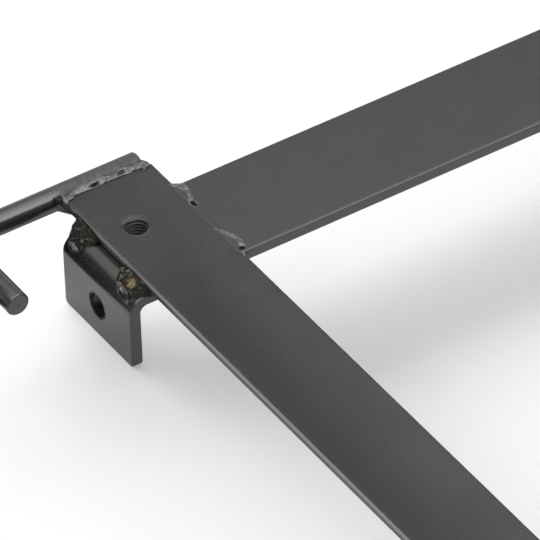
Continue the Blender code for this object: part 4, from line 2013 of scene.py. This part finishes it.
@dataclass
class Studio:
    """The floor, the light and the camera.

    Attributes:
        floor_half: Half the floor's size.
        camera_place: Where the camera stands.
        camera_right: The image's right.
        camera_down: The image's down.
        camera_forward: The way the camera looks.
        lens: Focal length in millimetres on a 36 mm sensor.
        windows: Turn and rise in degrees, and strength, of each window.
        window_spread: How wide a window looks, in degrees.
        softbox_half: Half the softbox's size.
        softbox_rise: Its height.
        low_flags: Name, left, right, near and far edge of each flag under a rod.
    """

    floor_half: float = 4.0
    camera_place: Vector = field(default_factory=lambda: Vector((-1.412075, -1.922205, 2.029004)))
    camera_right: Vector = field(default_factory=lambda: Vector((0.838617, -0.544030, -0.027432)))
    camera_down: Vector = field(default_factory=lambda: Vector((-0.366018, -0.525485, -0.768047)))
    camera_forward: Vector = field(default_factory=lambda: Vector((0.403425, 0.654138, -0.639806)))
    lens: float = 533.333
    windows: tuple[Place, ...] = ((-42, 20, 1.2), (-10, 24, 2.0), (22, 20, 1.5), (60, 16, 0.75))
    window_spread: float = 32.0
    softbox_half: float = 6.0
    softbox_rise: float = 2.5
    low_flags: tuple[tuple[str, float, float, float, float], ...] = (
        ("below", -0.45, 0.05, 0.216, 0.466),
        ("outer", -0.45, -0.234, 0.190, 0.216),
        ("inner", -0.216, -0.160, 0.196, 0.216),
    )

    def build(self) -> None:
        """Lay the floor, hang the lights and set the camera."""
        self._floor()
        self._camera()
        self._room()
        self._softbox()
        self._flags()
        for turn, rise, strength in self.windows:
            self._window(f"window_{turn}", turn, rise, strength)
        bpy.context.scene.view_settings.view_transform = "Standard"

    def _floor(self) -> None:
        """Lay the plain pale floor."""
        half, low = self.floor_half, -0.02 * MM
        mesh = bpy.data.meshes.new("floor")
        corners = [(-half, -half, low), (half, -half, low), (half, half, low), (-half, half, low)]
        mesh.from_pydata(corners, [], [(0, 1, 2, 3)])
        mesh.materials.append(PaleFloor().material())
        floor = bpy.data.objects.new("floor", mesh)
        bpy.context.scene.collection.objects.link(floor)

    def _camera(self) -> None:
        """Set the camera where the photograph was taken from."""
        lens = bpy.data.cameras.new("camera")
        lens.sensor_width = 36.0
        lens.lens = self.lens
        lens.clip_start, lens.clip_end = 0.1, 50.0
        camera = bpy.data.objects.new("camera", lens)
        axes = (self.camera_right, -self.camera_down, -self.camera_forward)
        turn = Matrix([[axis[row] for axis in axes] for row in range(3)])
        camera.matrix_world = Matrix.Translation(self.camera_place) @ turn.to_4x4()
        bpy.context.scene.collection.objects.link(camera)
        bpy.context.scene.camera = camera

    def _window(self, name: str, turn: float, rise: float, strength: float) -> None:
        """Hang one broad soft light that only shades, as a window behind the console does.

        Args:
            name: The light's name.
            turn: The way to it, in degrees from +Y towards +X.
            rise: Its height over the horizon, in degrees.
            strength: How strongly it lights the floor.
        """
        turn, rise = math.radians(turn), math.radians(rise)
        light = bpy.data.lights.new(name, "SUN")
        light.angle = math.radians(self.window_spread)
        light.energy = strength / math.sin(rise)
        lamp = bpy.data.objects.new(name, light)
        way = Vector((math.sin(turn) * math.cos(rise), math.cos(turn) * math.cos(rise), math.sin(rise)))
        lamp.rotation_mode = "QUATERNION"
        lamp.rotation_quaternion = way.to_track_quat("Z", "Y")
        lamp.visible_glossy = False
        bpy.context.scene.collection.objects.link(lamp)

    def _card(self, name: str, corners: Sequence[Vector], origin: Vector) -> tuple[bpy.types.Object, Wiring]:
        """Hang one card that shows only in reflections.

        Args:
            name: The card's name.
            corners: Its corners.
            origin: The point that its own coordinates start from.

        Returns:
            The card and the empty wiring of its material.
        """
        mesh = bpy.data.meshes.new(name)
        mesh.from_pydata([tuple(corner - origin) for corner in corners], [], [tuple(range(len(corners)))])
        made = bpy.data.materials.new(name)
        made.use_nodes = True
        made.node_tree.nodes.clear()
        mesh.materials.append(made)
        card = bpy.data.objects.new(name, mesh)
        card.location = origin
        bpy.context.scene.collection.objects.link(card)
        card.visible_camera = card.visible_diffuse = card.visible_shadow = card.visible_transmission = False
        return card, Wiring(made.node_tree)

    def _softbox(self) -> None:
        """Hang the wide softbox overhead: brightest in front, fading towards its rim."""
        half, height = self.softbox_half, self.softbox_rise
        middle = Vector((-0.2, 0.16, height + 0.035))
        corners = [middle + Vector((x * half, y * half, 0)) for x, y in ((-1, -1), (1, -1), (1, 1), (-1, 1))]
        _, wiring = self._card("softbox", corners, middle)
        place = wiring.add("ShaderNodeVectorMath", operation="ADD")
        wiring.join(wiring.add("ShaderNodeTexCoord").outputs["Object"], place.inputs[0])
        place.inputs[1].default_value = (0.0, 0.0, height)
        way = wiring.add("ShaderNodeVectorMath", operation="NORMALIZE")
        wiring.join(place.outputs[0], way.inputs[0])
        split = wiring.add("ShaderNodeSeparateXYZ")
        wiring.join(way.outputs[0], split.inputs[0])
        x, y, z = split.outputs
        slope = wiring.math("ADD", wiring.math("MULTIPLY", x, 0.4), wiring.math("MULTIPLY", y, 4.0))
        strength = wiring.math("MULTIPLY", wiring.stretch(z, 0.57, 0.70), wiring.math("SUBTRACT", 3.6, slope))
        glow = wiring.add("ShaderNodeEmission")
        wiring.join(wiring.math("MAXIMUM", strength, 0.0), glow.inputs["Strength"])
        both = wiring.add("ShaderNodeAddShader")
        wiring.join(glow.outputs[0], both.inputs[0])
        wiring.join(wiring.add("ShaderNodeBsdfTransparent").outputs[0], both.inputs[1])
        wiring.join(both.outputs[0], wiring.add("ShaderNodeOutputMaterial").inputs["Surface"])

    def _flags(self) -> None:
        """Set the dark flags: one behind the rear left hook, the others lying under its rod."""
        corner, rise = Vector((-0.274, 0.202, 0.0)), Vector((0, 0, 0.095))
        self._flag("flag_behind", corner, Vector((0.038, 0.039, 0)), rise)
        for name, left, right, near, far in self.low_flags:
            low = Vector((left, near, 0.001))
            self._flag(f"flag_{name}", low, Vector((right - left, 0, 0)), Vector((0, far - near, 0)))

    def _flag(self, name: str, corner: Vector, along: Vector, across: Vector) -> None:
        """Set one dark flag.

        Args:
            name: Its name.
            corner: Where it starts.
            along: Its first side.
            across: Its second side.
        """
        points = [corner, corner + along, corner + along + across, corner + across]
        _, wiring = self._card(name, points, Vector())
        cloth = wiring.add("ShaderNodeBsdfDiffuse")
        cloth.inputs["Color"].default_value = (0.01, 0.01, 0.01, 1.0)
        wiring.join(cloth.outputs[0], wiring.add("ShaderNodeOutputMaterial").inputs["Surface"])

    def _room(self) -> None:
        """Light the room: even walls with a paler backdrop behind the console."""
        world = bpy.data.worlds.new("studio")
        bpy.context.scene.world = world
        world.use_nodes = True
        tree = world.node_tree
        tree.nodes.clear()
        wiring = Wiring(tree)
        way = wiring.add("ShaderNodeSeparateXYZ")
        wiring.join(wiring.add("ShaderNodeTexCoord").outputs["Generated"], way.inputs[0])
        x, y, z = way.outputs
        toward = wiring.math("ADD", wiring.math("MULTIPLY", x, 0.53), wiring.math("MULTIPLY", y, 0.85))
        near_horizon = wiring.stretch(z, 0.0, 0.55, 0.85, 0.15)
        backdrop = wiring.math("MULTIPLY", wiring.stretch(toward, 0.0, 0.75), near_horizon)
        front = wiring.stretch(y, -0.7, 0.1, 0.42, 0.45)
        room = wiring.add("ShaderNodeBackground")
        wiring.join(wiring.math("ADD", backdrop, front), room.inputs["Strength"])
        seen = wiring.add("ShaderNodeBackground")
        seen.inputs["Color"].default_value = (1.0, 1.0, 1.0, 1.0)
        mix = wiring.add("ShaderNodeMixShader")
        wiring.join(wiring.add("ShaderNodeLightPath").outputs["Is Camera Ray"], mix.inputs[0])
        wiring.join(room.outputs[0], mix.inputs[1])
        wiring.join(seen.outputs[0], mix.inputs[2])
        wiring.join(mix.outputs[0], wiring.add("ShaderNodeOutputWorld").inputs["Surface"])


# Console


@dataclass
class SeatConsole:
    """The whole console.

    Attributes:
        hole_from_side: Distance of a seat hole from its rail's outer side.
        hole_from_end: Distance of a seat hole from its rail's end.
        rail_coat: The rails' finish.
        crossbar_coat: The crossbars' finish.
        tab_coat: The tabs' finish.
        rod_coat: The rods' finish.
        thread_coat: The seat holes' finish.
        weld_coat: The welds' finish.
        lump_coat: The finish of the lumps on the tabs.
        scale_coat: The finish of the pale beads along the seams.
        pit_shade_coat: The near-black finish lining burnt pits, painted shade.
        thread_drop: How far a thread starts below its rail's top.
        flange: Thickness of a tab's flange.
        crossbar_grow: How far a crossbar reaches into the seams.
        low_cut: How much of the painted light on the rails' sides stays below their middle; less leaves the
            lower sides darker, as painted shade.
        bare_spot: The bare yellow place on one lump.
    """

    hole_from_side: float = 14.4 * MM
    hole_from_end: float = 29.8 * MM
    # Painted light: the rails' pale tone lightens them towards the crossbars and the ends, and their cut tone
    # lightens their sides.
    rail_coat: SprayedCoat = SprayedCoat(
        "rail_coat",
        base=(0.0022, 0.0024, 0.0010),
        pale=(0.0175, 0.0175, 0.0168),
        ior=1.4,
        cut=(0.115, 0.115, 0.111),
    )
    crossbar_coat: SprayedCoat = SprayedCoat("crossbar_coat")
    tab_coat: SprayedCoat = SprayedCoat("tab_coat", cut=(0.06, 0.06, 0.056))
    rod_coat: SprayedCoat = SprayedCoat(
        "rod_coat", base=(0.0075, 0.0079, 0.0088), pale=(0.0075, 0.0079, 0.0088), scaled=(0.010, 0.010, 0.009)
    )
    # The thread's near-black cut tone is painted shade deep in the seat holes.
    thread_coat: SprayedCoat = SprayedCoat(
        "thread_coat",
        base=(0.002, 0.002, 0.0015),
        dust=0.0,
        roughness=0.3,
        ior=1.4,
        cut=(0.001, 0.001, 0.001),
    )
    weld_coat: SprayedCoat = SprayedCoat(
        "weld_coat",
        base=(0.006, 0.006, 0.005),
        pale=(0.010, 0.010, 0.010),
        dust=0.0,
        roughness=0.2,
        bump=0.08,
        wear_and_highlight=0.7,
        # Its near-black cut tone is painted shade in the beads' pits.
        cut=(0.002, 0.002, 0.002),
        cut_roughness=0.5,
    )
    lump_coat: SprayedCoat = SprayedCoat(
        "lump_coat",
        base=(0.0038, 0.0044, 0.0013),
        pale=(0.0038, 0.0044, 0.0013),
        dust=0.0,
        roughness=0.36,
        ior=1.28,
        bump=0.3,
        wear_and_highlight=0.9,
        crust=2.2 * MM,
        crumb_highlight=(0.085, 0.090, 0.060),
    )
    scale_coat: SprayedCoat = SprayedCoat(
        "scale_coat",
        base=(0.050, 0.050, 0.048),
        pale=(0.050, 0.050, 0.048),
        dust=0.0,
        roughness=0.30,
        bump=0.2,
        wear_and_highlight=0.95,
        crust=0.35 * MM,
        crumb_highlight=(0.12, 0.12, 0.118),
    )
    # A near-black, barely mirroring lining: painted shade in the seams' pits.
    pit_shade_coat: SprayedCoat = SprayedCoat(
        "pit_shade_coat", base=(0.002, 0.002, 0.002), pale=(0.003, 0.003, 0.003), dust=0.0, roughness=0.6, ior=1.08
    )

    thread_drop: float = 0.95 * MM
    flange: float = 5.0 * MM
    crossbar_grow: float = 0.3 * MM
    low_cut: float = 0.1
    bare_spot: BareSpot = BareSpot((-0.2043, 0.1400, 0.0363), 2.6 * MM)

    def seat_hole(self, side: Side, end: End) -> Flat:
        """Give the place of one seat hole.

        Args:
            side: The side of its rail.
            end: The end of the rail that it is near.

        Returns:
            Its middle, as X and Y.
        """
        low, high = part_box(f"rail_{side.label}")
        x = low.x + self.hole_from_side if side is Side.LEFT else high.x - self.hole_from_side
        y = high.y - self.hole_from_end if end is End.REAR else low.y + self.hole_from_end
        return x, y

    def build(self) -> None:
        """Build every piece of the console."""
        for side in Side:
            holes = tuple(self.seat_hole(side, end) for end in End)
            rail = f"rail_{side.label}"
            FlatBar(rail, self.rail_coat, Slot.RAIL, True, holes, low_cut=self.low_cut).build()
            HookRod(side, self.rod_coat).build()
            for end, hole in zip(End, holes):
                tab = f"tab_{end.label}_{side.label}"
                BentTab(side, end, self.tab_coat, hole).build()
                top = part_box(rail)[1].z - self.thread_drop
                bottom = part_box(tab)[1].z - self.flange
                name = f"seat_thread_{end.label}_{side.label}"
                SeatThread(name, hole, top, bottom, self.thread_coat).build()
        for end in End:
            name, grow = f"crossbar_{end.label}", self.crossbar_grow
            FlatBar(name, self.crossbar_coat, Slot.CROSSBAR, False, grow=grow).build()
        spotted = replace(self.lump_coat, name="spotted_lump_coat", spot=self.bare_spot)
        shop = WeldShop(self.weld_coat, self.lump_coat, spotted, self.pit_shade_coat, self.scale_coat)
        for side in Side:
            shop.weld_rod(side)
            for end in End:
                shop.weld_crossbar(Corner(side, end))
                shop.weld_tab(Corner(side, end))


def main() -> None:
    """Build the console and its studio, and report each piece."""
    logging.basicConfig(level=logging.INFO, format="%(name)s: %(message)s")
    SeatConsole().build()
    Studio().build()


if __name__ == "__main__":
    main()
